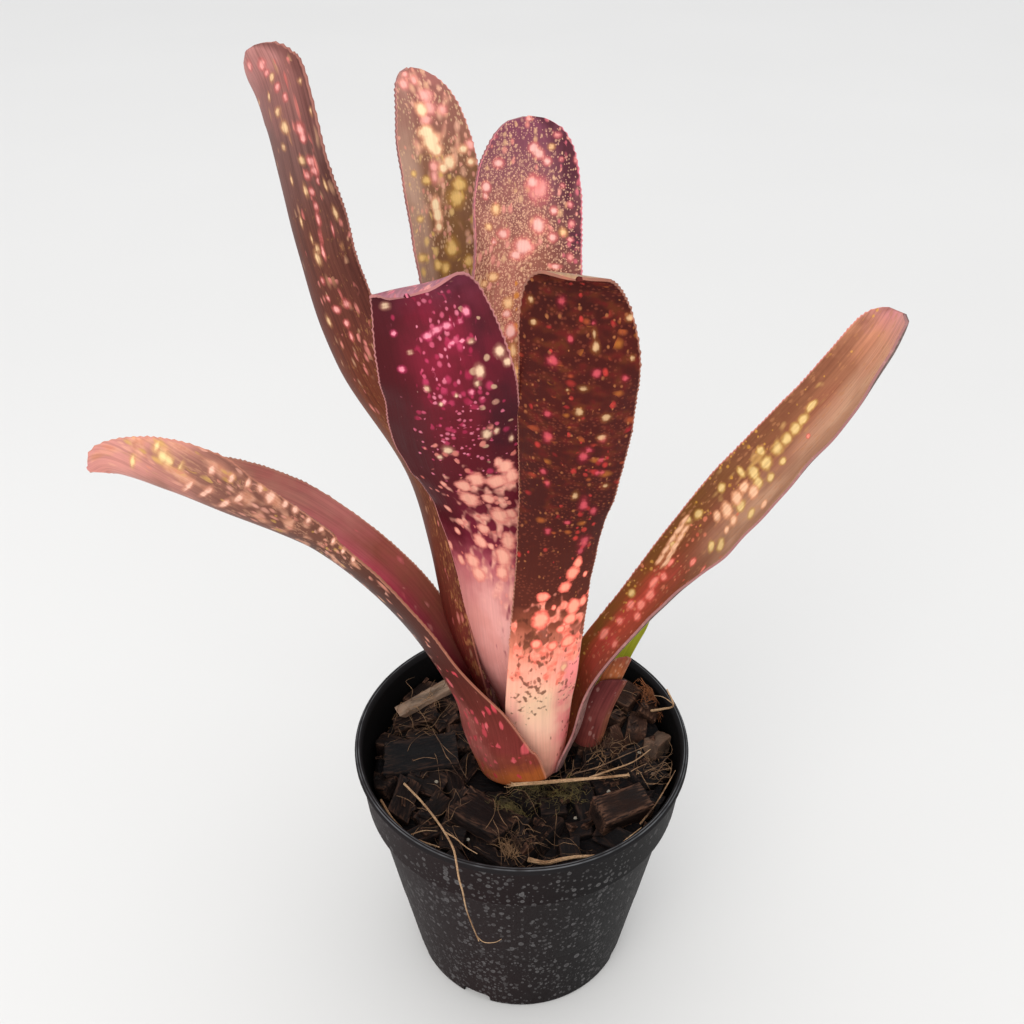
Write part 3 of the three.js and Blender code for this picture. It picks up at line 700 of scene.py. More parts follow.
def chip_surface(unit, corners, roughness, seed):
    """A block's points set between its worn corners, edges broken and faces grooved along x."""
    weights = [np.prod(np.where(c > 0, unit, 1 - unit), axis=1) for c in CORNERS]
    points = sum(w[:, None] * c for w, c in zip(weights, corners))
    inner = np.sort(np.minimum(unit, 1 - unit), axis=1)
    edge = 1 - rise(0, 0.22, inner[:, 1])
    middle = corners.mean(axis=0)
    away = points - middle
    away /= np.maximum(np.linalg.norm(away, axis=1), 1e-6)[:, None]
    grooves = noisy(points * [0.12, 1, 1], 1.3, seed)
    lumps = noisy(points, 5.0, seed + 3)
    depth = roughness * (0.55 * np.abs(grooves) + 0.8 * np.maximum(lumps, 0)) + edge * 0.9 * roughness * (
        0.6 + 0.5 * noisy(points, 3.0, seed + 7))
    return points - away * depth[:, None], edge


CHIP_GAP, ROOM_AT_LIP = 0.6, 60.9
PLANT_ROOM = (  # centre, heights and the least reach from the centre at them
    (CROWN, (91.7, 96, 104, 115), (17.6, 17.9, 19.4, 24.5)),
    (OFFSET_CROWN, (92.1, 99, 108, 122), (7.4, 7.7, 9.5, 17)),
)


def room_radius(z):
    """How far out a chip may reach at a height."""
    at_collar = float(inner_wall(COLLAR)) - CHIP_GAP
    above = mix(at_collar, ROOM_AT_LIP, (z - COLLAR) / (HEIGHT - COLLAR)).clip(0, ROOM_AT_LIP)
    return np.where(z < COLLAR, inner_wall(z) - CHIP_GAP, above)


def kept_in_room(points):
    """Keeps points inside the pot and out of the plant's and the offset's places."""
    points = points.copy()
    for centre, heights, radii in PLANT_ROOM:
        offset = points[:, :2] - centre
        reach = np.maximum(np.linalg.norm(offset, axis=1), 1e-6)
        least = np.where(points[:, 2] > heights[0] - 0.5, np.interp(points[:, 2], heights, radii), 0)
        points[:, :2] = centre + offset * (np.maximum(reach, least) / reach)[:, None]
    reach = np.maximum(np.linalg.norm(points[:, :2], axis=1), 1e-6)
    most = room_radius(points[:, 2])
    points[:, :2] *= (np.minimum(reach, most) / reach)[:, None]
    return points


def chip_piece(pattern, unit, corners, roughness, seed, at, turn, tone):
    """One finished chip as its own object, with its grain coordinates and tone for the finish."""
    obj = pattern.copy()
    obj.data = pattern.data.copy()
    bpy.context.collection.objects.link(obj)
    points, edge = chip_surface(unit, corners, roughness, seed)
    placed = kept_in_room(points @ turned_by(turn).T + at)
    obj.data.vertices.foreach_set("co", (placed * MM).ravel())
    add_attribute(obj, "grain", points + [seed * 13.0, 0, 0])
    add_attribute(obj, "tone", np.stack([np.full(len(points), tone), edge, np.zeros(len(points))], 1))
    obj.data.update()
    return obj


def joined(name, pieces):
    bpy.ops.object.select_all(action="DESELECT")
    for piece in pieces:
        piece.select_set(True)
    bpy.context.view_layer.objects.active = pieces[0]
    bpy.ops.object.join()
    pieces[0].name = name
    return pieces[0]


# %% [markdown]
# The chips are laid from the middle outwards, each turned on by the golden angle, so that they cover the
# top evenly. Their size, tilt and height are drawn from the same seeded numbers as in the part. The mix
# is heaped a little to the right.

# %% Laying the chips
MIX_LEVEL, CHIPS_PROUD, CHIP_COUNT, CHIP_REACH = 100.0, 2.5, 64, (17, 58)
CHIP_SIZES, CHIP_WEAR, CHIP_TILT, GOLDEN = ((11, 22), (8, 14), (7, 10)), 0.3, 24, 0.618


def mix_level(x, y):
    return MIX_LEVEL + 6 * rise(10, 55, x) + 2 * rise(15, 50, y)


fine_block, fine_unit = block(6)
draw = sequence(29)
chips = []
for k in range(CHIP_COUNT):
    angle = k * math.pi * (3 - math.sqrt(5))
    reach = math.sqrt(mix(CHIP_REACH[0] ** 2, CHIP_REACH[1] ** 2, (k + 0.5) / CHIP_COUNT))
    x, y = reach * math.cos(angle), reach * math.sin(angle)
    size = [mix(low, high, next(draw)) for low, high in CHIP_SIZES]
    corners = worn_corners(size, draw, CHIP_WEAR)
    turn = [mix(-CHIP_TILT, CHIP_TILT, next(draw)), mix(-CHIP_TILT, CHIP_TILT, next(draw)), 360 * next(draw)]
    z = float(mix_level(x, y)) - CHIPS_PROUD + mix(-0.5, 1.5, next(draw))
    chips.append(chip_piece(fine_block, fine_unit, corners, 0.9, k + 1, (x, y, z), turn, (k * GOLDEN) % 1))
print("chips laid:", len(chips))

# %% [markdown]
# Crumbs fill in between the chips: small broken bits dropped from above on whatever lies there. The
# surface below is found by casting a ray down on the chips already laid.

# %% Crumbs
CRUMB_COUNT, RAY_START = 200, 140
bpy.context.view_layer.update()


def tree_of(objects):
    points, faces = [], []
    for obj in objects:
        first = len(points)
        points += [v.co.copy() for v in obj.data.vertices]
        faces += [[first + i for i in p.vertices] for p in obj.data.polygons]
    return BVHTree.FromPolygons(points, faces)


chip_tree = tree_of(chips)


def lie(x, y, tree):
    """The height in mm of the top of the mix at x, y."""
    hit = tree.ray_cast(Vector((x * MM, y * MM, RAY_START * MM)), Vector((0, 0, -1)))[0]
    floor_level = float(mix_level(x, y)) - 4
    return max(hit.z / MM, floor_level) if hit else floor_level


small_block, small_unit = block(2)
random = np.random.default_rng(41)
crumbs = []
for k in range(CRUMB_COUNT):
    angle = random.uniform(0, 2 * math.pi)
    reach = math.sqrt(random.uniform(18.5 ** 2, 59 ** 2))
    x, y = reach * math.cos(angle) + CROWN[0] * (1 - reach / 60), reach * math.sin(angle)
    length = random.uniform(2.2, 7)
    size = [length, length * random.uniform(0.4, 0.8), length * random.uniform(0.25, 0.6)]
    corners = worn_corners(size, iter(random.random(24)), 0.5)
    turn = random.uniform(-40, 40, 2).tolist() + [random.uniform(0, 360)]
    z = lie(x, y, chip_tree) + random.uniform(-0.6, 0.5) * size[2]
    crumbs.append(chip_piece(small_block, small_unit, corners, 0.25, 70 + k, (x, y, z), turn, random.random()))
for pattern in (fine_block, small_block):
    bpy.data.objects.remove(pattern)
print("crumbs:", len(crumbs))

# %% [markdown]
# A bed closes the spaces below the chips. It stands for the deeper mix, and its near-black tone is partly
# the charcoal's own and partly painted shade between the chips. It is turned like the pot, up its inner
# wall and in across the top, with a pocket for the plant. Its top is heaped to the right like the chips, and rough.

# %% Bed below the chips
BED_TOP = 97
bed = turned(
    "bark_bed",
    [(42.6, FLOOR + 0.3), (float(inner_wall(FLOOR)) - 0.6, FLOOR + 0.4),
     (float(inner_wall(COLLAR)) - 0.7, COLLAR), (float(inner_wall(95)) - 0.8, 95),
     *((reach, BED_TOP) for reach in range(57, 21, -3)), (21, 96.5), (18.2, 95.5), (18.0, 91.6), (7, 91.6),
     (6.9, 75.6)],
    96)
points = np.array([v.co for v in bed.data.vertices]) / MM
reach = np.linalg.norm(points[:, :2], axis=1)
shift = (1 - rise(19, 32, reach)) * (points[:, 2] > 60)
points[:, :2] += shift[:, None] * np.array(CROWN)
heap = (points[:, 2] > 95) * rise(18, 27, reach)
points[:, 2] += heap * (mix_level(points[:, 0], points[:, 1]) - MIX_LEVEL + 1.2 * noisy(points, 4.0))
bed.data.vertices.foreach_set("co", (points * MM).ravel())
add_attribute(bed, "grain", points)
# Painted shade: the bed takes the darkest charcoal tone, so the gaps between the chips read dark.
add_attribute(bed, "tone", np.tile([0.05, 0.0, 0.0], (len(points), 1)))
mix_piece = joined("bark_pieces", [bed] + chips + crumbs)
smooth_by_angle(mix_piece, 32)

# %% [markdown]
# ## The loose pieces on top
# Four pieces lie loose on the mix: a flat charred slab, a pale sliver of wood, a grey chip with tan
# broken edges and a squared block. Each starts from the part's own worn corners and is cut finer.

# %% Loose pieces
LOOSE = {
    "bark_slab": dict(
        size=(34, 19, 5), at=(-40, -2, 103), turn=(4, -3, 10), seed=5, slot="bark", tone=0.02, rough=0.8),
    "wood_sliver": dict(
        size=(30, 7, 3), at=(-39, 28, 105.5), turn=(6, -4, 33), seed=8, slot="pale_wood", tone=1.0,
        rough=0.5),
    "bark_chip_front": dict(
        size=(27, 18, 6), at=(-14, -33, 103.5), turn=(-8, 6, -34), seed=3, slot="bark", tone=0.45, rough=0.8),
    "bark_block": dict(
        size=(24, 14, 10), at=(37, -32, 106.5), turn=(5, 4, 24), seed=9, slot="bark", tone=0.7, rough=1.0)}
slab_block, slab_unit = block(17)
loose = {}
for name, piece in LOOSE.items():
    corners = worn_corners(piece["size"], sequence(piece["seed"]), 0.25)
    loose[name] = chip_piece(
        slab_block, slab_unit, corners, piece["rough"], piece["seed"], piece["at"], piece["turn"],
        piece["tone"])
    loose[name].name = name + "_rough"
    smooth_by_angle(loose[name], 30)
bpy.data.objects.remove(slab_block)
mix_tree = tree_of([mix_piece] + list(loose.values()))
print("loose pieces:", len(loose))

# %% [markdown]
# ## Bark finish
# Bark is brown outside, nearly black where it is charred or wet, with a grain that splits to tan fibres.
# Each chip carries its grain coordinates, so the grain runs along it whichever way it lies, and a tone
# between charcoal and red-brown. Broken edges are paler.

# %% Bark finish
bark_finish, paint, shader = new_material("bark")
grain = paint.spread(paint.attribute("grain"), (1, 1, 1))
tone, edge, _ = paint.split(paint.attribute("tone"))
long_lines = paint.noise(paint.spread(grain, (0.22, 1, 1)), 0.9, 4, 0.6)
plates = paint.noise(paint.spread(grain, (0.35, 0.8, 0.8)), 3.5, 3, 0.6)
ground = paint.ramp(tone, [(0, "0C0B0D"), (0.3, "130E0E"), (0.55, "180F0D"), (0.8, "241610"), (0.93, "2E1C14"),
                           (0.985, "382219"), (1, "8A7462")])
lighter = paint.mixed(0.35, ground, "644636")
colour = paint.mixed(paint.smooth(long_lines, 0.48, 0.75, 0.0, 0.35), ground, lighter)
colour = paint.mixed(paint.smooth(plates, 0.35, 0.6, 0.55, 0.0), colour, "0A0808")
broken = paint.times(
    paint.times(edge, paint.smooth(long_lines, 0.4, 0.6)), paint.smooth(tone, 0.3, 0.6, 0.1, 0.42))
colour = paint.mixed(broken, colour, "7E5A46")
dusty = paint.noise(object_mm(paint), 1.2, 3, 0.7)
colour = paint.mixed(paint.smooth(dusty, 0.62, 0.85, 0.0, 0.25), colour, "54402F")
paint.feed(shader.inputs["Base Color"], colour)
paint.feed(shader.inputs["Roughness"], paint.smooth(plates, 0.3, 0.7, 0.55, 0.85))
shader.inputs["Specular IOR Level"].default_value = 0.12
bump(paint, shader, paint.plus(paint.times(long_lines, 0.7), paint.times(plates, 0.5)), 0.7)
mix_piece.data.materials.append(bark_finish)
ready(mix_piece, "bark", "bark_mix")
for name, piece in LOOSE.items():
    loose[name].data.materials.append(bark_finish)
    ready(loose[name], piece["slot"], name)

# %% [markdown]
# ## Roots, straws and fibres
# Dry roots lie on the mix and one hangs over the rim. A tube along a smooth line makes each: a bevelled
# curve, converted to a mesh. The thicker ones are fluted, so they are laid from a few strands side by
# side, twisting slowly, and their ends fray.


# %% Strands
def strands(name, paths, sides=6):
    """One mesh of tubes. Each path is (points, radii), in mm."""
    curve = bpy.data.curves.new(name, "CURVE")
    curve.dimensions = "3D"
    curve.bevel_depth = MM
    curve.bevel_resolution = (sides - 4) // 2
    curve.use_fill_caps = True
    for points, radii in paths:
        spline = curve.splines.new("POLY")
        spline.points.add(len(points) - 1)
        spline.points.foreach_set(
            "co", np.column_stack([np.asarray(points) * MM, np.ones(len(points))]).ravel())
        spline.points.foreach_set("radius", np.broadcast_to(radii, len(points)).astype(float))
    obj = bpy.data.objects.new(name, curve)
    bpy.context.collection.objects.link(obj)
    pick(obj)
    bpy.ops.object.convert(target="MESH")
    smooth_by_angle(obj, 60)
    return obj


def fluted(route, radius, count, wide=1.0, taper=0.5):
    """Strands laid side by side round one route, wide times broader across than deep."""
    line = smooth_line(route, 8)
    along = np.gradient(line, axis=0)
    along /= np.linalg.norm(along, axis=1)[:, None]
    across = np.cross(along, [0, 0, 1])
    across /= np.maximum(np.linalg.norm(across, axis=1), 1e-6)[:, None]
    up = np.cross(across, along)
    t = np.linspace(0, 1, len(line))
    paths = []
    for j in range(count):
        phase = 2 * math.pi * j / count + t * 2.5
        size = radius * mix(1, taper, t)
        sideways = across * (np.cos(phase) * size * 0.5 * wide)[:, None]
        paths.append((line + sideways + up * (np.sin(phase) * size * 0.5)[:, None], size * 0.55))
    return paths


def thin(route, radius, taper=0.4, steps=8):
    line = smooth_line(route, steps)
    return line, radius * np.linspace(1, taper, len(line))


def frayed(end, direction, count, length, radius, random):
    """Short hairs spreading from a broken end."""
    paths = []
    for _ in range(count):
        lean = np.array(direction, float) + random.normal(0, 0.28, 3)
        tip = np.array(end) + lean * length * random.uniform(0.5, 1.1)
        middle = (np.array(end) + tip) / 2 + random.normal(0, 0.4, 3)
        paths.append(thin([end, middle, tip], radius, 0.3, 4))
    return paths


# %% [markdown]
# Five pieces lie on the mix: a forked straw and a twig in front, a root that hangs over the rim, a
# root inside the left rim and one standing up at the right. Each has its main length and a side branch.

# %% The five roots
random = np.random.default_rng(5)
ROOTS = {
    "straw_front": fluted([(-4, -19.6, 106.2), (7, -19, 106.6), (22, -18, 107.4), (34, -17, 107.7), (46, -16, 108.5)],
                          0.8, 4, 1.2, 0.5)
    + [thin([(26, -16.2, 106.4), (34, -14, 108), (43, -11, 109.5), (50, -6, 111)], 0.45)]
    + frayed((40, -16, 107.8), (1, -0.1, 0.05), 6, 11, 0.2, random)
    + frayed((-3, -19.6, 106.2), (-1, -0.2, 0), 4, 3, 0.25, random),
    "twig_front": fluted([(2, -51, 102), (8, -52.4, 101.9), (14, -51, 102), (20, -49.5, 101.6), (27, -49, 101.4)],
                         0.75, 5, 1.7, 0.55)
    + [thin([(22, -49.3, 101.6), (27, -49, 101.4), (33, -47, 102.2), (38, -44.3, 105), (43.5, -41.5, 108)], 0.45),
       thin([(34, -46.8, 102.6), (37, -47.6, 103.4), (41, -46.6, 104.6)], 0.2)],
    "root_over_rim": [
        thin([(-45, -18, 105), (-38, -28, 107), (-32, -38, 109), (-27, -49, 112.5), (-24, -57.5, 115),
              (-23, -62.5, 115.2), (-22, -66.8, 112), (-21, -66, 104), (-20, -63.5, 90), (-18, -62, 78),
              (-16, -61, 68)], 0.48, 0.45),
        thin([(-17, -61.4, 72), (-14, -61.2, 67.5), (-10, -61, 67.2), (-7.5, -61.2, 69.5)], 0.22),
        thin([(-28.5, -46, 111.4), (-24, -48.5, 110.6), (-20, -52, 110), (-16, -54.5, 109.5)], 0.35)],
    "root_left": [thin([(-53, -27, 106), (-47, -37, 106), (-39, -44, 105), (-30, -48, 105)], 0.55, 0.5),
                  thin([(-41, -42.6, 105.2), (-36, -41, 105.6), (-31, -41.5, 106)], 0.25)],
    "root_right": [thin([(53, 18, 108), (57, 15, 112), (60.5, 12, 117), (58, 16, 122)], 0.55, 0.5),
                   thin([(60.3, 12.3, 117.6), (56.5, 14, 119.5), (53, 15.5, 119)], 0.2)],
}
roots = {name: strands(name.replace("_", "-") + "-strands", paths) for name, paths in ROOTS.items()}

# %% [markdown]
# Finer fibres are strewn over the mix. Each is walked across the surface in small steps, turning a
# little at random, and rests just above whatever it crosses.

# %% Strewn fibres
FIBRE_STEP, FIBRE_COUNT, FIBRE_REACH = 2.2, 70, 59
random = np.random.default_rng(77)


def strewn(start, heading, length, radius, bend, clearance, arch=0.0):
    """One fibre over the mix, cut off at the pot's wall, or None if too little of it is left."""
    steps = max(int(length / FIBRE_STEP), 4)
    places = [np.array(start, float)]
    turn = random.normal(0, bend)
    for _ in range(steps):
        turn = 0.8 * turn + random.normal(0, bend * 0.5)
        heading += turn
        places.append(places[-1] + FIBRE_STEP * np.array([math.cos(heading), math.sin(heading)]))
    places = np.array(places)
    reach = np.linalg.norm(places, axis=1)
    places = places[reach < FIBRE_REACH + 0.5]
    if len(places) < 4:
        return None
    height = np.array([lie(x, y, mix_tree) for x, y in places])
    height = np.maximum(height, np.convolve(np.pad(height, 1, "edge"), [0.33, 0.34, 0.33], "valid")) + clearance
    height += arch * np.sin(np.linspace(0, math.pi, len(height)))
    return smooth_line(np.column_stack([places, height]), 2), radius


def held_in(x, y, z):
    """A point, drawn inwards where it would reach the pot's wall."""
    share = min(1, FIBRE_REACH / math.hypot(x, y))
    return x * share, y * share, z


def tuft(centre, count, spread, length, radius, heading, lift, bend=0.25):
    """A clump of short curved fibres round one place."""
    paths = []
    for _ in range(count):
        x, y = np.array(centre[:2]) + random.normal(0, spread, 2)
        way = heading + random.normal(0, 0.9)
        size = length * random.uniform(0.5, 1.2)
        z = min(lie(x, y, mix_tree), centre[2] + 2) + 0.1
        points = [(x, y, z)]
        for step in (0.35, 0.7, 1):
            way += random.normal(0, bend)
            points.append((x + size * step * math.cos(way), y + size * step * math.sin(way),
                           z + lift * size * math.sin(step * 2.4) * random.uniform(0.4, 1)))
        paths.append(thin([held_in(*point) for point in points], radius, 0.4, 3))
    return paths


fibres = []
while len(fibres) < FIBRE_COUNT:
    angle, reach = random.uniform(0, 2 * math.pi), math.sqrt(random.uniform(19 ** 2, 57 ** 2))
    start = (reach * math.cos(angle) + 2, reach * math.sin(angle))
    path = strewn(start, random.uniform(0, 6.3), random.uniform(9, 34), random.uniform(0.07, 0.15), 0.12,
                  random.uniform(0.2, 0.9), random.uniform(0, 2.2))
    if path:
        fibres.append(path)
for clump in (((-4, -47, 102), 70, 2.6, 9, 0.14, 1.4, 0.45), ((-31, -45, 102), 22, 2.5, 8, 0.13, 2.0, 0.3),
              ((-50, 18, 103), 26, 4.0, 12, 0.13, 0.3, 0.2), ((-38, 24, 106), 24, 5.0, 11, 0.13, 0.7, 0.25),
              ((14, -12, 103), 30, 3.5, 10, 0.13, 0.3, 0.2), ((30, -8, 106), 26, 4.0, 13, 0.14, 0.4, 0.25),
              ((48, -14, 109), 24, 3.5, 12, 0.14, 0.6, 0.3), ((29, 0, 103), 34, 3.0, 9, 0.13, 0.3, 0.35)):
    fibres += tuft(*clump)
fibres.append(thin([(20, -14, 106), (30, -12, 108), (40, -8, 110), (50, -4, 111.5)], 0.3))
fibres.append(thin([(43, -40, 108), (49, -33, 110), (55, -24, 112.5), (58, -19, 113.5)], 0.35))
fibre_piece = strands("strewn_fibres", fibres, 4)
coir = strands("coir_tuft", tuft((55.5, 25, 108), 130, 2.2, 8, 0.16, 1.2, 0.5, 0.5)
               + tuft((52, 34, 107), 50, 3.0, 9, 0.16, 0.4, 0.4, 0.5), 4)
moss = strands("moss_strands", tuft((17, -19, 103), 190, 3.2, 4, 0.12, 0.6, 0.35, 0.9)
               + tuft((-5, -28, 103), 120, 2.0, 5, 0.12, 1.8, 0.3, 0.9)
               + tuft((2, -17.5, 102), 120, 3.8, 5, 0.12, 0.2, 0.25, 0.8), 4)
print("strewn fibres:", len(fibres))

# %% [markdown]
# Seven white grains lie between the chips. Each is a small ball pushed in and out by noise.

# %% White grains
GRAINS = [(8.8, -21.3), (20.3, -29), (-14, -21.9), (46.3, -2.8), (-20, -40), (33, -22), (-33, -14)]
grain_list = []
for k, (x, y) in enumerate(GRAINS):
    bpy.ops.mesh.primitive_ico_sphere_add(subdivisions=2, radius=MM)
    grain_ball = bpy.context.object
    points = np.array([v.co for v in grain_ball.data.vertices]) / MM
    points *= (0.75 + 0.35 * noisy(points, 0.9, k + 2))[:, None] * [1.0, 0.8, 0.7]
    points += [x, y, lie(x, y, mix_tree) + 0.4]
    grain_ball.data.vertices.foreach_set("co", (points * MM).ravel())
    grain_list.append(grain_ball)
grains = joined("white_grains", grain_list)

# %% [markdown]
# Roots and fibres share one recipe: a dry tan broken by darker lengths. Each kind has its own pair of
# colours. The grains are perlite, a chalky volcanic glass.


# %% Fibre finishes
def fibre_finish(name, dark, light, size=9):
    material, paint, shader = new_material(name)
    place = object_mm(paint)
    lengths = paint.noise(place, size, 3, 0.6)
    fine = paint.noise(place, 0.7, 3, 0.6)
    colour = paint.mixed(paint.smooth(lengths, 0.32, 0.68), dark, light)
    colour = paint.mixed(paint.smooth(fine, 0.35, 0.7, 0.45, 0.0), colour, "2A1810")
    paint.feed(shader.inputs["Base Color"], colour)
    paint.feed(shader.inputs["Roughness"], paint.smooth(fine, 0.3, 0.7, 0.6, 0.85))
    shader.inputs["Specular IOR Level"].default_value = 0.25
    bump(paint, shader, fine, 0.25)
    return material


root_finish = fibre_finish("dry_root", "94704E", "CCA780", 12)
for name, root in roots.items():
    root.data.materials.append(root_finish)
    ready(root, "dry_root", name)
for piece, kind, dark, light in ((fibre_piece, "brown_fibre", "3E2A1E", "A07C5A"),
                                 (coir, "red_coir", "5A3018", "A0623A"),
                                 (moss, "dead_moss", "2A2416", "6E6238"),
                                 (grains, "chalky_grain", "9A917E", "CFC8B8")):
    piece.data.materials.append(fibre_finish(kind, dark, light, 7))
    ready(piece, "bark")

# %% [markdown]
# ## Leaf markings
# This plant's blades are burgundy to brown, dusted and splashed with pink and cream. All the marks are
# round spots of a few sizes whose crowding changes along the leaf, and where they crowd they run
# together to blotches with dark lanes between. One group of nodes draws a layer of such spots: cell
# noise gives each cell a centre and three random numbers, which decide whether it holds a spot, how
# large it is and how it is tinted. Smooth distances keep a border round where two spots meet.


# %% Spot group
def spot_group():
    tree = bpy.data.node_groups.new("Spots", "ShaderNodeTree")
    for name, kind in (("Place", "Vector"), ("Cell", "Float"), ("Size", "Float"), ("Amount", "Float"),
                       ("Soft", "Float"), ("Stretch", "Float"), ("Ragged", "Float"), ("Seed", "Float")):
        tree.interface.new_socket(name=name, in_out="INPUT", socket_type="NodeSocket" + kind)
    for name in ("Mask", "Tint"):
        tree.interface.new_socket(name=name, in_out="OUTPUT", socket_type="NodeSocketFloat")
    given = tree.nodes.new("NodeGroupInput").outputs
    result = tree.nodes.new("NodeGroupOutput").inputs
    paint = Paint(tree)
    x, y, _ = paint.split(given["Place"])
    across = paint.math("DIVIDE", x, given["Cell"])
    along = paint.math("DIVIDE", y, paint.times(given["Cell"], given["Stretch"]))
    flat = paint.join(paint.plus(across, given["Seed"]), paint.plus(along, given["Seed"]))
    lumps = paint.noise(flat, 0.8, 2, 0.5, out=1)
    lumps = paint.node("VectorMath", {0: lumps, 1: (0.5, 0.5, 0.5)}, operation="SUBTRACT")
    lumps = paint.node("VectorMath", {0: lumps, 3: given["Ragged"]}, operation="SCALE")
    moved = paint.node("VectorMath", {0: flat, 1: lumps})
    cells = paint.node("TexVoronoi", {"Vector": moved, "Scale": 1.0, "Smoothness": 0.3}, out=None,
                       voronoi_dimensions="2D", feature="SMOOTH_F1")
    chance, scale, tint = paint.split(cells.outputs["Color"])
    radius = paint.times(given["Size"], paint.math("MULTIPLY_ADD", scale, 0.62, 0.3))
    near = paint.times(radius, paint.minus(1.0, given["Soft"]))
    far = paint.times(radius, paint.plus(1.0, given["Soft"]))
    disc = paint.node("MapRange", {0: cells.outputs["Distance"], 1: far, 2: near, 3: 0.0, 4: 1.0},
                      interpolation_type="SMOOTHSTEP")
    there = paint.node("MapRange", {0: paint.minus(given["Amount"], chance), 1: 0.0, 2: 0.04, 3: 0.0, 4: 1.0})
    tree.links.new(paint.times(disc, there), result["Mask"])
    tree.links.new(tint, result["Tint"])
    return tree


SPOTS = spot_group()

# %% [markdown]
# A leaf's finish is painted layer on layer, as the leaf itself is read: the ground colours from foot to
# tip, then darker or redder sides, then the spots, and last the fine long veins and the thin pale hem.
# `where` says how strongly a layer applies, by ramps along the leaf (0 at the foot, 1 at the tip) and
# across it (-1 to 1 from margin to margin), broken up by cloudy clumps.


# %% Leaf painter
class LeafPaint:
    """The finish of one face of one leaf."""

    def __init__(self, name, seed, ground):
        self.material, self.p, self.shader = new_material(name)
        self.seed, self.layers = seed, 0
        self.place = self.p.spread(self.p.attribute("blade"), (1, 1, 1), (seed * 9.7, seed * 5.3, 0))
        self.k, self.u, _ = self.p.split(self.p.attribute("share"))
        self.side = self.p.math("MULTIPLY_ADD", self.k, 0.5, 0.5)
        waver = self.p.noise(self.place, 16, 3, 0.6)
        self.wavering_u = self.p.math("MULTIPLY_ADD", self.p.minus(waver, 0.5), 0.10, self.u)
        self.colour = self.p.ramp(self.wavering_u, ground)

    def where(self, along=None, across=None, clump=0.0, depth=1.0):
        self.layers += 1
        amount = 1.0
        if along:
            amount = self.p.ramp(self.wavering_u, along)
        if across:
            band = self.p.ramp(self.side, [((k + 1) / 2, value) for k, value in across])
            amount = self.p.times(amount, band)
        if clump:
            shift = (self.layers * 31.7, self.layers * 11.3, 0)
            lumps = self.p.noise(self.p.spread(self.place, (1, 0.7, 1), shift), clump, 2)
            amount = self.p.times(amount, self.p.smooth(lumps, 0.36, 0.62, 1 - depth, 1 + 0.5 * depth))
        return amount

    def tint(self, colour, amount):
        self.colour = self.p.mixed(amount, self.colour, colour)

    def spots(self, colours, amount, cell, size=0.45, soft=0.35, stretch=1.0, ragged=0.3, strength=0.9):
        """A layer of round spots, one to a cell at most, in shades between two colours."""
        self.layers += 1
        node = self.p.tree.nodes.new("ShaderNodeGroup")
        node.node_tree = SPOTS
        feeds = {"Place": self.place, "Cell": cell, "Size": size, "Amount": amount, "Soft": soft,
                 "Stretch": stretch, "Ragged": ragged, "Seed": 7.3 * self.layers + self.seed}
        for key, value in feeds.items():
            self.p.feed(node.inputs[key], value)
        shade = self.p.mixed(node.outputs["Tint"], *colours)
        self.tint(shade, self.p.times(node.outputs["Mask"], strength))

    def blobs(self, colours, amount, size=4.0, soft=0.03, stretch=1.3, strength=0.95):
        """Lobed blotches that run together, with lanes between them. More amount, narrower lanes."""
        self.layers += 1
        shift = (self.layers * 17.3, self.layers * 5.1, 0)
        lumps = self.p.noise(self.p.spread(self.place, (1, 1 / stretch, 1), shift), size, 1.2, 0.4)
        level = self.p.plus(lumps, self.p.math("MULTIPLY_ADD", amount, 0.6, -0.42))
        mask = self.p.smooth(level, 0.5 - soft, 0.5 + soft)
        shade = self.p.mixed(self.p.smooth(self.p.noise(self.place, 3.0, 3), 0.35, 0.65), *colours)
        self.tint(shade, self.p.times(mask, strength))

    def marks(self, channel, colours, soft=0.3, rough=0.4, strength=0.95, lump=2.4):
        """Blotches set one by one on the mesh: a rim colour, and a clearer core."""
        field = self.p.split(self.p.attribute("marks"))[channel]
        edge = self.p.minus(self.p.noise(self.place, lump, 2, 0.5), 0.5)
        level = self.p.math("MULTIPLY_ADD", edge, rough, field)
        mask = self.p.smooth(level, -soft / 2, soft)
        shade = self.p.mixed(self.p.smooth(level, 0.1, 0.6), *colours)
        self.tint(shade, self.p.times(mask, strength))

    def speckle(self, colour, amount, size=0.55, strength=0.7, stretch=1.0):
        """Fine grain, dense where amount is near 1: round grains, or fine streaks if stretched."""
        if stretch < 2.5:
            self.spots(
                (colour, colour), self.p.times(amount, 0.9), size * 1.9, 0.4, 0.5, stretch, 0.5, strength)
            return
        self.layers += 1
        grain = self.p.noise(
            self.p.spread(self.place, (1, 1 / stretch, 1), (self.layers * 3.1, 0, 0)), size, 2, 0.7)
        level = self.p.plus(grain, self.p.math("MULTIPLY_ADD", amount, 0.26, -0.2))
        self.tint(colour, self.p.times(self.p.smooth(level, 0.5, 0.64), strength))

    def finish(self, hem="B07A78", vein="1C0A0C", veins=0.25, gloss=0.42, hem_strength=0.6):
        p = self.p
        lines = p.noise(p.spread(self.place, (1, 0.03, 1)), 0.9, 3, 0.6)
        fine = p.noise(p.spread(self.place, (1, 0.06, 1), (5, 0, 0)), 0.4, 2, 0.6)
        self.tint(vein, p.smooth(lines, 0.32, 0.62, veins, 0.0))
        self.tint(hem, p.times(p.smooth(p.math("ABSOLUTE", self.k), 0.972, 0.992), hem_strength))
        p.feed(self.shader.inputs["Base Color"], self.colour)
        p.feed(self.shader.inputs["Roughness"], p.smooth(lines, 0.2, 0.8, gloss, gloss + 0.14))
        self.shader.inputs["Specular IOR Level"].default_value = 0.08
        bump(p, self.shader, p.plus(p.times(lines, 0.6), p.times(fine, 0.4)), 0.14, 0.6)
        return self.material
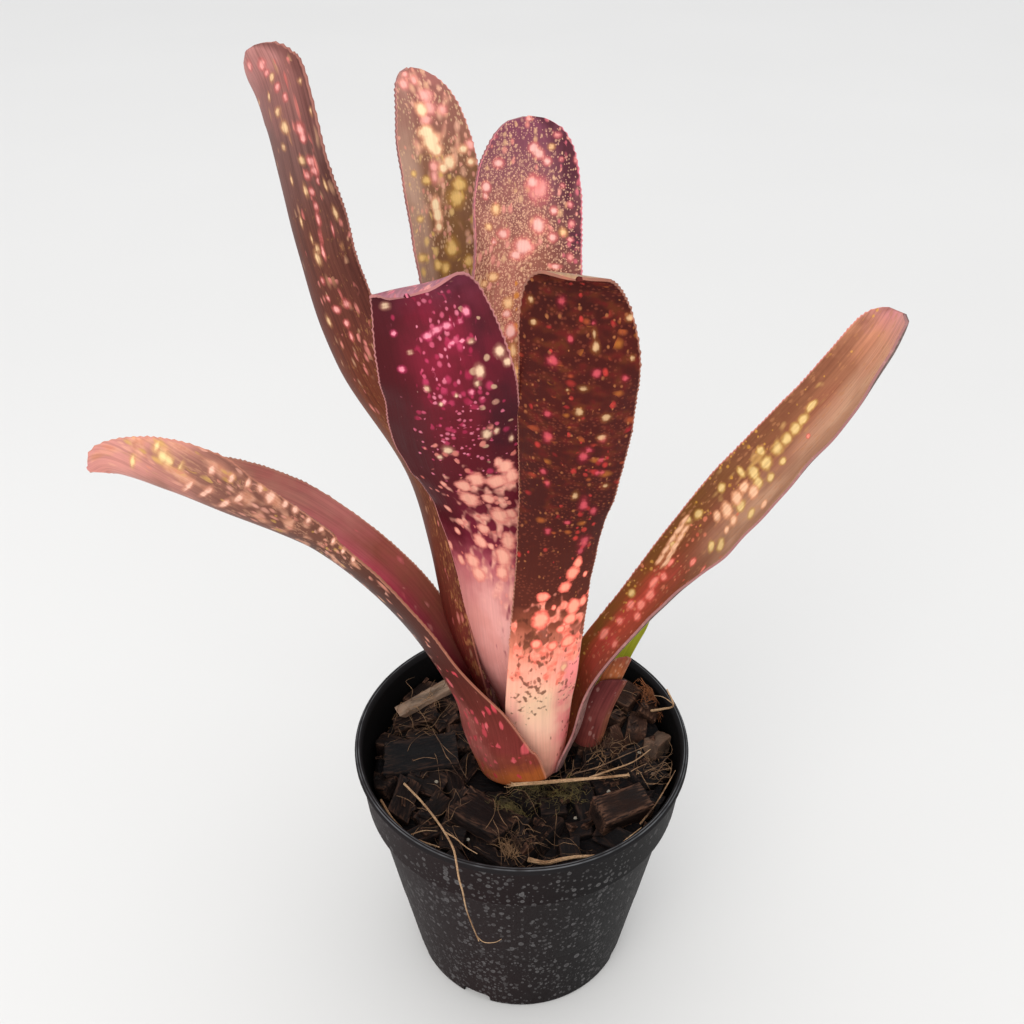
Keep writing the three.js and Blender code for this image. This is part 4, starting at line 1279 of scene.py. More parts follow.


# %% [markdown]
# The largest blotches are few, and their places give each leaf its face. They are set one by one, as
# ellipses in millimetres on the blade, and written to the mesh as a field that falls from 1 at a
# blotch's middle to 0 at its border. The finish roughens that border.


# %% Blotches set one by one
def set_marks(name, channels):
    """channels holds up to three lists of [across -1..1, along 0..1, half width mm, half length mm]."""
    obj = leaves[name]
    count = len(obj.data.vertices)
    blade, share = np.empty(count * 3), np.empty(count * 3)
    obj.data.attributes["blade"].data.foreach_get("vector", blade)
    obj.data.attributes["share"].data.foreach_get("vector", share)
    blade, share = blade.reshape(-1, 3), share.reshape(-1, 3)
    length = blade[:, 1].max()
    widths = half_width(blade, share)
    fields = np.full((count, 3), -1.0)
    for channel, marks in enumerate(channels):
        for k, u, wide, long in marks:
            middle = k * np.interp(u, *widths)
            away = np.hypot((blade[:, 0] - middle) / wide, (blade[:, 1] - u * length) / long)
            fields[:, channel] = np.maximum(fields[:, channel], 1 - away)
    add_attribute(obj, "marks", fields)


def half_width(blade, share):
    """Half the blade's width at 60 places along it."""
    steps = np.linspace(0, 1, 60)
    reach = [np.abs(blade[np.abs(share[:, 1] - u) < 0.012, 0]).max(initial=1.0) for u in steps]
    return steps, np.array(reach)


# %% [markdown]
# ### The two leaves in front
# The left one is deep burgundy with painted shade down its left side, dusted with magenta dots up its
# middle, and breaks into big beige-pink blotches lower down on its right. The right one is almost
# black-brown with blurred red and olive spots in bands, then a few coral blotches, and below them salmon with a brown
# mottle.

# %% Front left leaf
leaf = LeafPaint("front_left_outer", 3, [
    (0, "7A3C34"), (0.1, "B05A52"), (0.2, "CC8078"), (0.35, "D08A80"), (0.44, "A8505A"), (0.5, "701E30"),
    (0.65, "54161E"), (0.78, "601822"), (0.92, "641A26"), (1, "8A4458")])
# Painted shade: the upper blade is darkened down its left side, where the neighbouring leaf shades it.
leaf.tint("421216", leaf.where([(0.42, 0), (0.52, 1), (0.97, 0.9)], [(-1, 1), (-0.6, 0.85), (-0.25, 0)]))
leaf.tint(
    "3C141C", leaf.where([(0.66, 0), (0.74, 0.8), (0.95, 0.7)], [(0.3, 0), (0.6, 0.9), (1, 0.9)], 10, 0.5))
middle = [(-0.75, 0.0), (-0.45, 0.35), (-0.1, 1), (0.35, 0.9), (0.65, 0.3), (1, 0.2)]
leaf.tint("8E1E38", leaf.where([(0.7, 0), (0.8, 0.15), (0.9, 0.4), (0.97, 0.2)], middle, 7, 0.9))
leaf.spots(
    ("A02444", "C03C60"),
    leaf.where([(0.62, 0), (0.7, 0.35), (0.82, 0.7), (0.93, 0.95), (0.98, 0.6)], middle, 8), 3.0, 0.4, 0.6,
    1.4, strength=0.75)
leaf.spots(
    ("BC3C5C", "E48498"), leaf.where([(0.6, 0), (0.7, 0.45), (0.85, 0.6), (0.97, 0.45)], middle, 6), 1.8,
    0.38, 0.5, 1.4, strength=0.85)
leaf.spots(
    ("AC7A68", "C09A7C"), leaf.where([(0.64, 0), (0.72, 0.2), (0.97, 0.12)], [(0.2, 0), (0.5, 1), (1, 0.8)]),
    4, 0.3, strength=0.85)
lower_right = leaf.where(
    [(0.31, 0), (0.36, 0.5), (0.42, 0.66), (0.54, 0.68), (0.64, 0.6), (0.7, 0.3), (0.74, 0)],
    [(-0.85, 0.35), (-0.4, 0.75), (0.0, 0.95), (0.95, 1)])
leaf.blobs(("D48478", "ECA892"), lower_right, 3.2, 0.1, 2.2)
leaf.spots(
    ("C8685E", "DC8678"),
    leaf.where(
        [(0.36, 0.0), (0.44, 0.35), (0.64, 0.45), (0.74, 0.15), (0.8, 0)], [(-1, 0.3), (-0.4, 0.6), (1, 0.8)],
        6),
    2.8, 0.4, 0.4, 1.6, strength=0.9)
leaf.tint(
    "E0A098",
    leaf.where(
        [(0.05, 0.5), (0.2, 0.7), (0.38, 0.8), (0.46, 0)], [(-1, 0.2), (-0.2, 0.7), (0.6, 1), (1, 0.5)], 9,
        0.6))
leaf.blobs(
    ("8A2848", "742038"),
    leaf.where(
        [(0.1, 0.2), (0.3, 0.42), (0.42, 0.5), (0.5, 0.3), (0.54, 0)], [(-0.6, 0), (0.2, 0.9), (1, 1)]),
    2.6, 0.08, 2.4, 0.8)
leaf.speckle(
    "A04858", leaf.where([(0.05, 0.6), (0.3, 0.7), (0.45, 0)], [(-0.4, 0.2), (1, 1)], 6), 0.8, 0.5, 5.0)
leaf.speckle(
    "E8B0A0", leaf.where([(0.05, 0.3), (0.3, 0.6), (0.45, 0)], [(-0.4, 0.2), (1, 1)], 6), 0.9, 0.4, 5.0)
leaf.marks(0, ("B43258", "F08CA0"), 0.7, 0.7)
leaf.marks(1, ("A87060", "E8C2A0"), 0.7, 0.7)
leaf.marks(2, ("D47C70", "EEA892"), 0.3, 0.8, lump=2.6)
front_left_outer = leaf.finish(hem="D08C88", veins=0.1, gloss=0.4)
set_marks("leaf_front_left", [
    [(0.05, 0.912, 1.9, 1.3), (0.23, 0.914, 1.6, 1.3), (-0.1, 0.908, 1.6, 1.3), (0.23, 0.896, 1.3, 1.0),
     (0.58, 0.924, 1.3, 1.7), (0.45, 0.916, 1.0, 1.0), (0.38, 0.896, 1.1, 0.8), (-0.57, 0.876, 1.4, 1.3),
     (-0.62, 0.918, 1.1, 1.1), (-0.07, 0.828, 1.0, 1.4), (0.33, 0.838, 1.1, 1.4)],
    [(-0.68, 0.948, 1.6, 1.3), (0.5, 0.894, 1.3, 0.9), (0.5, 0.862, 1.6, 2.3), (0.43, 0.848, 1.1, 1.3),
     (0.85, 0.878, 1.8, 1.8), (0.9, 0.866, 1.3, 1.6), (-0.27, 0.848, 1.1, 1.5), (-0.4, 0.894, 1.1, 0.8),
     (0.48, 0.76, 1.7, 3.3), (0.62, 0.762, 1.1, 2.1), (-0.12, 0.729, 2.0, 2.9), (-0.27, 0.711, 1.2, 1.7),
     (-0.12, 0.824, 0.8, 1.3), (0.83, 0.737, 0.9, 2.8), (0.12, 0.836, 0.8, 1.1)],
    [(0.68, 0.679, 3.0, 3.6), (0.75, 0.657, 2.4, 4.5), (0.5, 0.651, 3.7, 4.2), (-0.05, 0.643, 2.8, 4.5),
     (-0.05, 0.605, 3.6, 6.0), (0.2, 0.659, 2.8, 4.8), (0.28, 0.609, 2.2, 3.8), (0.35, 0.563, 3.3, 5.4),
     (0.55, 0.567, 1.9, 3.0), (-0.45, 0.525, 1.8, 2.2), (-0.02, 0.525, 2.4, 3.3), (-0.15, 0.495, 2.6, 3.9),
     (0.38, 0.505, 2.7, 5.0), (0.25, 0.473, 2.8, 5.3), (0.2, 0.445, 2.5, 3.8), (-0.4, 0.451, 3.6, 3.4),
     (-0.3, 0.431, 3.2, 3.3), (-0.62, 0.551, 1.5, 2.5), (-0.38, 0.641, 1.1, 2.6), (-0.6, 0.499, 1.5, 1.9),
     (-0.93, 0.459, 1.4, 2.4), (-0.7, 0.443, 1.8, 2.4), (0.05, 0.489, 1.4, 1.9), (0.6, 0.693, 1.5, 2.7)]])

# %% [markdown]
# The blade of the right one is done with few, blurred layers. Its pale foot gets warm ground colours, a
# pink flank on either side and a brown mottle that stops short of the bark.

# %% Front right leaf
leaf = LeafPaint("front_right_outer", 5, [
    (0, "C07860"), (0.08, "F0A890"), (0.15, "FFC8AC"), (0.22, "FFD0AC"), (0.3, "FCA890"), (0.35, "D87C64"),
    (0.39, "8A4632"), (0.43, "54241A"), (0.6, "421814"), (0.8, "481612"), (0.93, "3E1410"), (1, "461816")])
leaf.tint("F48C88", leaf.where([(0.02, 0.9), (0.3, 0.9), (0.4, 0.0)], [(0.2, 0), (0.6, 0.9), (1, 1)], 8, 0.4))
leaf.tint(
    "F8A098", leaf.where([(0.02, 0.9), (0.2, 0.8), (0.3, 0.0)], [(-1, 1), (-0.7, 0.7), (-0.4, 0)], 8, 0.4))
leaf.blobs(
    ("EC7460", "FF9C84"),
    leaf.where(
        [(0.22, 0), (0.3, 0.7), (0.36, 0.8), (0.42, 0.6), (0.46, 0.35), (0.5, 0.0)],
        [(-1, 0.7), (-0.3, 0.9), (0.5, 1), (1, 0.8)]),
    4.2, 0.05, 1.8)
mottle = leaf.where(
    [(0.12, 0.1), (0.18, 0.3), (0.24, 0.58), (0.32, 0.56), (0.37, 0.78), (0.42, 0.3), (0.45, 0)],
    [(-1, 0.6), (-0.6, 1), (-0.1, 1), (0.3, 0.5), (0.75, 0.8), (1, 1)], 9, 0.5)
leaf.blobs(("6A3A24", "55281C"), mottle, 1.8, 0.08, 1.8, 0.8)
leaf.spots(
    ("8A4232", "7A3428"),
    leaf.where(
        [(0.05, 0.3), (0.2, 0.25), (0.32, 0.5), (0.4, 0.4), (0.45, 0)],
        [(-1, 0.1), (0.2, 0.2), (0.7, 0.9), (1, 1)], 6),
    1.7, 0.36, 0.6, 2.6, 0.6, 0.7)
leaf.blobs(
    ("6E1E1A", "6A3218"), leaf.where([(0.5, 0), (0.6, 0.45), (0.75, 0.62), (0.97, 0.6)], None), 5.0, 0.14,
    0.8, 0.6)
leaf.spots(
    ("A8242C", "B8702E"),
    leaf.where(
        [(0.45, 0), (0.6, 0.25), (0.7, 0.4), (0.97, 0.4)], [(-1, 0.3), (-0.3, 0.8), (0.7, 1), (1, 0.5)], 9),
    4.4, 0.36, 0.9, 0.9, strength=0.7)
leaf.spots(
    ("C23A34", "A82E2C"),
    leaf.where(
        [(0.44, 0), (0.54, 0.4), (0.72, 0.3), (0.8, 0.15)],
        [(-1, 0.3), (-0.2, 0.4), (0.1, 1), (0.6, 1), (0.9, 0.2)], 8),
    2.8, 0.34, 0.6, 1.5)
leaf.spots(
    ("A8623E", "C07848"), leaf.where([(0.4, 0), (0.45, 0.3), (1, 0.15)], None, 8), 1.7, 0.3, 0.6, 1.5,
    strength=0.6)
leaf.speckle("7A3A2A", leaf.where([(0.4, 0), (0.46, 0.7), (1, 0.6)], None, 9), 0.7, 0.5)
leaf.marks(0, ("E46454", "FFA488"), 0.2, 0.7)
leaf.marks(1, ("8C2030", "D85460"), 1.1, 1.1, 0.85, 2.6)
leaf.marks(2, ("8A5024", "E0B484"), 1.1, 1.0, 0.85, 2.6)
front_right_outer = leaf.finish(hem="B47C68", veins=0.1, gloss=0.42)
set_marks("leaf_front_right", [
    [(-0.25, 0.401, 3.1, 4.8), (0.53, 0.499, 1.5, 3.5), (0.43, 0.479, 2.4, 3.9), (0.28, 0.455, 2.4, 2.7),
     (0.58, 0.417, 2.9, 3.9), (0.53, 0.397, 2.6, 3.1), (-0.25, 0.441, 2.7, 2.2), (0.78, 0.471, 0.9, 1.7),
     (0.05, 0.421, 1.0, 1.3), (0.83, 0.423, 1.5, 2.6), (0.3, 0.381, 1.8, 1.8), (-0.3, 0.359, 2.1, 2.2),
     (0.12, 0.353, 2.1, 2.3), (0.55, 0.357, 3.0, 3.2), (1.0, 0.435, 1.1, 1.7)],
    [(0.38, 0.623, 1.8, 4.0), (0.6, 0.609, 1.5, 2.7), (-0.38, 0.653, 1.2, 1.8), (0.1, 0.585, 1.2, 1.5),
     (0.58, 0.541, 2.0, 4.3), (0.53, 0.523, 1.3, 2.6), (-0.3, 0.565, 1.3, 1.9), (0.23, 0.713, 1.7, 3.3),
     (0.3, 0.725, 1.4, 1.8), (0.55, 0.707, 1.2, 1.8), (0.53, 0.683, 1.2, 1.4), (0.6, 0.683, 1.2, 1.4),
     (-0.42, 0.737, 1.7, 3.2), (-0.4, 0.86, 1.9, 2.8), (0.3, 0.848, 1.6, 1.6), (0.75, 0.84, 1.3, 1.4),
     (-0.45, 0.778, 1.4, 1.7), (0.5, 0.747, 1.4, 2.2), (-0.1, 0.888, 1.0, 1.4), (-0.47, 0.673, 1.2, 1.8),
     (-0.22, 0.93, 1.3, 2.4), (0.3, 0.904, 0.8, 1.1)],
    [(0.3, 0.892, 0.8, 2.2), (0.3, 0.878, 1.2, 2.5), (-0.7, 0.906, 1.1, 1.1), (0.9, 0.908, 1.3, 1.4),
     (0.05, 0.79, 1.6, 2.1), (0.48, 0.749, 1.7, 1.8), (0.73, 0.659, 1.2, 1.4), (0.1, 0.826, 1.6, 1.5),
     (0.53, 0.307, 1.5, 3.1), (0.85, 0.864, 0.8, 1.2), (0.18, 0.639, 1.2, 2.4), (-0.78, 0.928, 1.0, 1.2),
     (0.5, 0.782, 1.7, 2.1), (-0.15, 0.822, 0.8, 1.0)]])

# %% [markdown]
# ### The two leaves behind
# Their inner faces are seen. The right one is brown-rose under dense cream dust with round coral
# blotches, purple at its border. The left one is olive-brown, with cream and pink blotches run together
# up its middle and a painted grey sheen along one side.

# %% Back right leaf
leaf = LeafPaint("back_right_inner", 7, [
    (0, "8A3E32"), (0.3, "944638"), (0.55, "944636"), (0.68, "8E4C32"), (0.78, "8E5442"), (0.86, "8C584E"),
    (0.93, "865258"), (1, "7E4456")])
leaf.tint("562C36", leaf.where([(0.6, 0.7), (0.95, 0.95)], [(-1, 1), (-0.75, 0.9), (-0.4, 0)], 8, 0.4))
leaf.tint(
    "B87466",
    leaf.where(
        [(0.6, 0.4), (0.8, 0.7), (0.9, 0.4), (0.95, 0)], [(-0.4, 0), (0, 0.8), (0.8, 0.6), (1, 0.2)], 12,
        0.8))
for size, share in ((0.42, 0.6), (0.6, 0.5), (0.9, 0.3)):
    leaf.speckle(
        "F2BC98",
        leaf.where(
            [(0.5, 0.3), (0.7, 0.7), (0.82, 1.0), (0.93, 0.8), (0.97, 0.5)],
            [(-1, 0.3), (-0.6, 0.6), (-0.2, 0.9), (0.6, 1), (1, 0.8)], 7, 0.6),
        size, share)
leaf.spots(
    ("DCA87C", "E8B890"),
    leaf.where([(0.5, 0.2), (0.7, 0.3), (0.95, 0.35)], [(-0.6, 0.4), (0.3, 0.9), (1, 0.8)], 8), 2.4, 0.4, 0.7,
    1.3, strength=0.75)
leaf.spots(
    ("DE8478", "F0A090"), leaf.where([(0.4, 0.3), (0.75, 0.35), (0.98, 0.3)], None, 9), 3.0, 0.38, 0.7, 1.3,
    strength=0.8)
leaf.spots(
    ("CC7C30", "D88E44"), leaf.where([(0.5, 0.5), (0.68, 0.7), (0.76, 0.4), (0.8, 0)], None, 6), 2.8, 0.4,
    0.6, 1.3)
leaf.spots(
    ("B85260", "D06C76"), leaf.where([(0.6, 0.5), (0.95, 0.5)], [(-1, 1), (-0.7, 0.7), (-0.5, 0)]), 2.2, 0.4,
    0.6, 1.3)
leaf.marks(2, ("D4646A", "F49C94"), 0.9, 0.9, lump=3.2)
leaf.marks(1, ("DC9A5C", "FFCC94"), 0.9, 0.8, lump=3.2)
leaf.marks(0, ("EC7872", "FFC0B4"), 0.9, 0.8, lump=3.2)
back_right_inner = leaf.finish(hem="D8808A", veins=0.12, hem_strength=0.85)
set_marks("leaf_back_right", [
    [(-0.07, 0.998, 1.9, 0.9), (-0.12, 0.962, 2.3, 1.8), (-0.22, 0.954, 2.3, 1.7), (-0.38, 0.946, 1.9, 1.4),
     (-0.1, 0.92, 3.0, 2.4), (0.6, 0.942, 2.4, 2.3), (0.78, 0.906, 2.0, 2.0), (0.78, 0.894, 1.2, 1.3),
     (-0.25, 0.868, 3.2, 3.2), (0.38, 0.852, 2.4, 1.8), (0.55, 0.842, 1.5, 1.2), (-0.5, 0.854, 1.9, 2.0),
     (-0.02, 0.838, 4.0, 3.5), (0.12, 0.828, 2.6, 1.9), (-0.5, 0.888, 1.6, 1.6), (-0.57, 0.814, 2.0, 1.1),
     (0.18, 0.731, 2.4, 3.1), (0.25, 0.754, 1.8, 1.7)],
    [(0.55, 0.88, 2.0, 2.1), (-0.5, 0.962, 1.5, 1.1), (0.68, 0.858, 1.7, 1.2), (0.53, 0.802, 2.5, 1.4),
     (-0.68, 0.862, 1.7, 1.7), (0.23, 0.768, 2.2, 2.3), (0.15, 0.703, 1.4, 3.2), (0.1, 0.673, 1.0, 3.3),
     (0.7, 0.796, 1.8, 1.1)],
    [(-0.68, 0.974, 1.8, 1.1), (-0.8, 0.828, 1.3, 1.8), (-0.82, 0.874, 1.4, 1.7), (-0.78, 0.898, 1.4, 1.2),
     (-0.65, 0.92, 1.3, 1.0), (0.88, 0.98, 2.1, 0.7), (-0.22, 0.912, 4.4, 4.3), (-0.65, 0.948, 1.1, 0.8),
     (-0.93, 0.948, 1.1, 1.2), (-0.8, 0.852, 1.3, 1.0)]])

# %% [markdown]
# The left one's blotches are the palest of the plant. They crowd near its tip and turn ochre lower down.

# %% Back left leaf
leaf = LeafPaint("back_left_inner", 9, [
    (0, "8A3C34"), (0.4, "8A4E36"), (0.6, "7E5238"), (0.78, "845C40"), (0.85, "886048"), (0.92, "8E604E"),
    (0.97, "925C54"), (1, "B06C64")])
# Painted sheen: a pale grey sheen laid along one side of the upper blade.
leaf.tint(
    "C09C88", leaf.where([(0.6, 0.5), (0.85, 0.8), (0.96, 0.4)], [(0.35, 0), (0.6, 0.8), (1, 0.9)], 12, 0.4))
leaf.blobs(
    ("E49A84", "F8BC98"),
    leaf.where(
        [(0.78, 0.2), (0.84, 0.5), (0.92, 0.66), (0.97, 0.5), (1, 0.3)],
        [(-0.9, 0.6), (-0.3, 0.85), (0.3, 1), (0.6, 0.5), (0.9, 0)]),
    3.8, 0.14, 1.8, 0.85)
leaf.tint(
    "8A6434",
    leaf.where([(0.6, 0.6), (0.8, 0.7), (0.88, 0.2), (0.9, 0)], [(-1, 0.9), (-0.3, 0.6), (0.2, 0)], 10))
leaf.speckle(
    "DCB48C", leaf.where([(0.6, 0.4), (0.9, 0.9), (1, 0.7)], [(-1, 0.6), (0.2, 0.9), (1, 0.5)], 7), 0.5, 0.55,
    1.6)
leaf.spots(
    ("DCA480", "EAB098"),
    leaf.where([(0.55, 0.1), (0.8, 0.4), (0.97, 0.5)], [(-1, 0.6), (0.4, 1), (0.8, 0.3)], 8), 3.0, 0.42, 0.8,
    1.5, strength=0.8)
leaf.spots(
    ("D8AC60", "E4BC7C"),
    leaf.where([(0.6, 0.4), (0.78, 0.5), (0.88, 0.3), (0.95, 0)], [(-0.8, 0.5), (0, 1), (0.6, 0.5)], 9), 3.2,
    0.4, 0.7, 1.3, strength=0.85)
leaf.spots(
    ("D88C78", "E8AC94"), leaf.where([(0.5, 0.3), (0.97, 0.35)], None, 7), 1.9, 0.38, 0.6, 1.5, strength=0.8)
leaf.marks(2, ("CC9848", "F0C478"), 0.9, 0.9, lump=3.2)
leaf.marks(1, ("E88880", "FFB0A4"), 0.9, 0.8, lump=3.2)
leaf.marks(0, ("F4AC84", "FFE2B4"), 0.6, 0.8, lump=3.2)
back_left_inner = leaf.finish(hem="D88C86", vein="5A3A2C", veins=0.16, hem_strength=0.7)
set_marks("leaf_back_left", [
    [(0.05, 0.912, 4.1, 3.6), (0.15, 0.924, 3.6, 2.4), (-0.07, 0.902, 2.6, 2.4), (0.15, 0.95, 2.6, 2.4),
     (-0.32, 0.886, 2.4, 2.4), (-0.7, 0.898, 1.9, 1.6), (-0.82, 0.882, 1.6, 1.6), (0.2, 0.842, 2.0, 3.0),
     (0.18, 0.828, 2.0, 2.6), (-0.15, 0.88, 2.0, 1.6), (0.2, 0.814, 1.8, 1.8)],
    [(-0.1, 0.964, 3.1, 2.4), (-0.1, 0.95, 3.1, 2.8), (0.55, 0.982, 2.3, 2.2), (0.38, 0.994, 1.6, 1.6),
     (-0.9, 0.902, 1.8, 2.0), (0.1, 0.884, 2.0, 2.0), (0.12, 0.872, 2.0, 2.4), (0.07, 0.984, 1.6, 1.8),
     (-0.45, 0.946, 2.0, 2.0), (0.07, 0.938, 2.6, 2.0)],
    [(-0.07, 0.786, 2.7, 3.5), (0.35, 0.77, 2.2, 1.8), (0.2, 0.766, 2.0, 2.2), (0.78, 0.784, 2.4, 1.6),
     (-0.35, 0.844, 3.4, 3.4), (-0.47, 0.858, 2.8, 2.6), (0.68, 0.828, 1.8, 1.2), (0.65, 0.88, 1.4, 1.1),
     (0.33, 0.87, 2.2, 1.6), (-0.4, 0.766, 1.9, 2.3), (0.23, 0.747, 2.6, 2.2), (0.58, 0.749, 2.3, 1.4)]])

# %% [markdown]
# ### The tall leaf and the two low ones
# The tall leaf shows its outer face, maroon-brown with cream and pink spindles lying along it. The low
# right leaf shows its inner face: brown with a painted grey sheen, a yellow streak breaking into peach
# blotches, and red and gold near the foot. The low left leaf shows its spotted outer face and, behind its near
# margin, a channel of clear magenta.

# %% Tall left leaf
leaf = LeafPaint("left_tall_outer", 11, [
    (0, "A04038"), (0.15, "94443A"), (0.3, "703428"), (0.42, "6C3E2E"), (0.52, "80503A"), (0.6, "703A28"),
    (0.7, "623228"), (0.8, "643A30"), (0.9, "74504A"), (0.96, "94605A"), (1, "B47A74")])
leaf.tint("4C2622", leaf.where([(0.5, 0.4), (0.95, 0.6)], [(0.7, 0), (0.9, 0.8), (1, 0.9)], 8, 0.5))
leaf.speckle(
    "9A6A42",
    leaf.where([(0.2, 0.7), (0.5, 0.8), (0.75, 0.5), (0.97, 0.3)], [(-0.2, 0.2), (0.3, 0.7), (1, 1)], 6), 0.7,
    0.6, 4.0)
leaf.speckle(
    "C08454", leaf.where([(0.2, 0.8), (0.45, 0.8), (0.65, 0.4), (0.8, 0.1)], [(0, 0.3), (1, 1)], 5), 0.9,
    0.55, 5.0)
leaf.spots(
    ("A87458", "C49474"),
    leaf.where(
        [(0.5, 0.15), (0.62, 0.25), (0.95, 0.3), (0.99, 0.1)], [(-0.3, 0.3), (0.2, 0.8), (1, 0.7)], 10),
    2.2, 0.38, 0.8, 3.0, strength=0.75)
leaf.spots(
    ("C0645C", "D88478"),
    leaf.where(
        [(0.2, 0.5), (0.4, 0.3), (0.58, 0.35), (0.95, 0.4)], [(0, 0.0), (0.4, 0.6), (0.62, 1), (0.9, 0.4)],
        9),
    1.8, 0.38, 0.7, 3.0, strength=0.85)
leaf.marks(1, ("B88058", "ECC090"), 0.8, 0.7)
leaf.marks(0, ("CC605C", "F8A49C"), 0.8, 0.7)
left_tall_outer = leaf.finish(hem="B87A6C", veins=0.35, gloss=0.44, hem_strength=0.5)
set_marks("leaf_left_tall", [
    [(-0.12, 0.988, 2.9, 1.6), (0.28, 0.978, 2.8, 1.7), (0.3, 0.968, 2.2, 1.3), (0.43, 0.946, 1.9, 1.2),
     (0.55, 0.936, 1.4, 0.9), (0.68, 0.916, 2.2, 1.4), (0.7, 0.91, 1.7, 1.2), (0.73, 0.892, 1.6, 1.7),
     (0.75, 0.884, 1.5, 1.8), (0.6, 0.878, 1.6, 1.6), (0.75, 0.874, 0.7, 1.4), (0.6, 0.862, 1.1, 1.8),
     (0.6, 0.846, 0.9, 2.5), (0.58, 0.83, 0.9, 2.6), (0.55, 0.81, 0.7, 3.1), (0.53, 0.79, 0.8, 3.3),
     (0.35, 0.754, 1.0, 1.7), (0.4, 0.719, 1.7, 1.7), (0.6, 0.725, 1.4, 2.0), (0.33, 0.733, 0.9, 1.6),
     (0.75, 0.818, 0.5, 2.8), (0.48, 0.701, 1.2, 1.7), (0.48, 0.685, 1.0, 2.0)],
    [(0.38, 0.918, 2.6, 1.7), (0.3, 0.93, 2.4, 1.2), (0.88, 0.94, 0.9, 0.8), (0.5, 0.862, 1.0, 2.7),
     (0.85, 0.838, 0.9, 3.0), (0.25, 0.87, 0.9, 2.1), (0.85, 0.87, 0.7, 2.3), (0.4, 0.782, 1.5, 3.1),
     (0.45, 0.794, 1.2, 2.1), (0.25, 0.824, 0.8, 2.6), (0.38, 0.958, 1.9, 1.7), (0.58, 0.892, 1.7, 1.5),
     (-0.45, 0.96, 2.3, 0.9), (0.15, 0.705, 1.4, 2.6), (0.38, 0.806, 0.7, 2.4), (0.83, 0.796, 0.6, 2.3),
     (0.23, 0.902, 1.6, 1.3), (0.15, 0.946, 1.4, 1.4), (0.93, 0.924, 0.7, 0.8)]])

# %% [markdown]
# Halfway up the low right leaf, small peach marks run in two short lines beside one margin. They are
# spaced evenly along those lines.

# %% Low right leaf, inner face
leaf = LeafPaint("right_low_inner", 13, [
    (0, "8E4630"), (0.12, "94502E"), (0.25, "A4442E"), (0.36, "9C4228"), (0.48, "7E4228"), (0.6, "805038"),
    (0.75, "8C583E"), (0.88, "A06A4E"), (0.95, "CC8C6C"), (1, "D08A88")])
# Painted sheen: a pale grey-tan sheen laid along the near side of the upper blade.
leaf.tint(
    "D0A282",
    leaf.where(
        [(0.48, 0.0), (0.6, 0.6), (0.92, 0.85), (0.97, 0.3)], [(-1, 0.7), (-0.3, 0.9), (0.1, 0.6), (0.35, 0)],
        14, 0.4))
leaf.tint(
    "74501C",
    leaf.where(
        [(0.15, 0.5), (0.3, 0.8), (0.6, 0.5), (0.7, 0.2), (1, 0)], [(0.45, 0), (0.75, 0.9), (1, 0.9)], 9,
        0.4))
leaf.tint(
    "C44840",
    leaf.where(
        [(0.2, 0.2), (0.3, 0.7), (0.42, 0.7), (0.5, 0.1)], [(-0.3, 0), (0.1, 0.9), (0.55, 0.6), (0.8, 0)], 8,
        0.6))
leaf.tint(
    "764230", leaf.where([(0.6, 0.2), (0.75, 0.7), (0.97, 0.6)], [(0.55, 0), (0.8, 0.8), (1, 0.8)], 6, 0.5))
leaf.speckle("B87C54", leaf.where([(0.1, 0.3), (0.5, 0.4), (0.65, 0.8), (0.95, 0.5)], None, 7), 0.8, 0.5, 2.0)
leaf.blobs(
    ("C89858", "DCAC6C"),
    leaf.where(
        [(0.46, 0.0), (0.52, 0.38), (0.68, 0.52), (0.84, 0.4), (0.9, 0)],
        [(-0.1, 0), (0.15, 0.7), (0.7, 1), (0.9, 0.5), (1, 0)]),
    3.6, 0.12, 2.0, 0.8)
leaf.spots(
    ("CC5A40", "DC8060"),
    leaf.where(
        [(0.15, 0.3), (0.3, 0.5), (0.5, 0.4), (0.58, 0.1), (0.65, 0)],
        [(-0.6, 0.4), (0.1, 0.9), (0.5, 0.9), (0.8, 0.3)], 7),
    2.6, 0.4, 0.5, strength=0.85)
leaf.spots(("C8903C", "D8A050"), leaf.where([(0.2, 0.2), (0.35, 0.4), (0.65, 0.4), (0.75, 0.1)],
                                            [(0.2, 0), (0.6, 0.8), (1, 0.9)], 8), 2.0, 0.38, 0.5, strength=0.8)
leaf.marks(0, ("DC5C4C", "FF9480"), 0.5, 0.7)
leaf.marks(1, ("C89A50", "F0CC88"), 0.5, 0.8, lump=3.0)
leaf.marks(2, ("E09A70", "FFC8A0"), 0.4, 0.6, lump=2.4)
right_low_inner = leaf.finish(hem="D88A80", vein="5A3426", veins=0.28, gloss=0.42, hem_strength=0.8)
PEACH_LINES = [(mix(*across, t), mix(*along, t), wide, 3.0)
               for across, along, wide in (((0.5, 0.66), (0.46, 0.52), 1.1), ((0.66, 0.8), (0.455, 0.53), 1.0))
               for t in (0, 0.25, 0.5, 0.75, 1)]
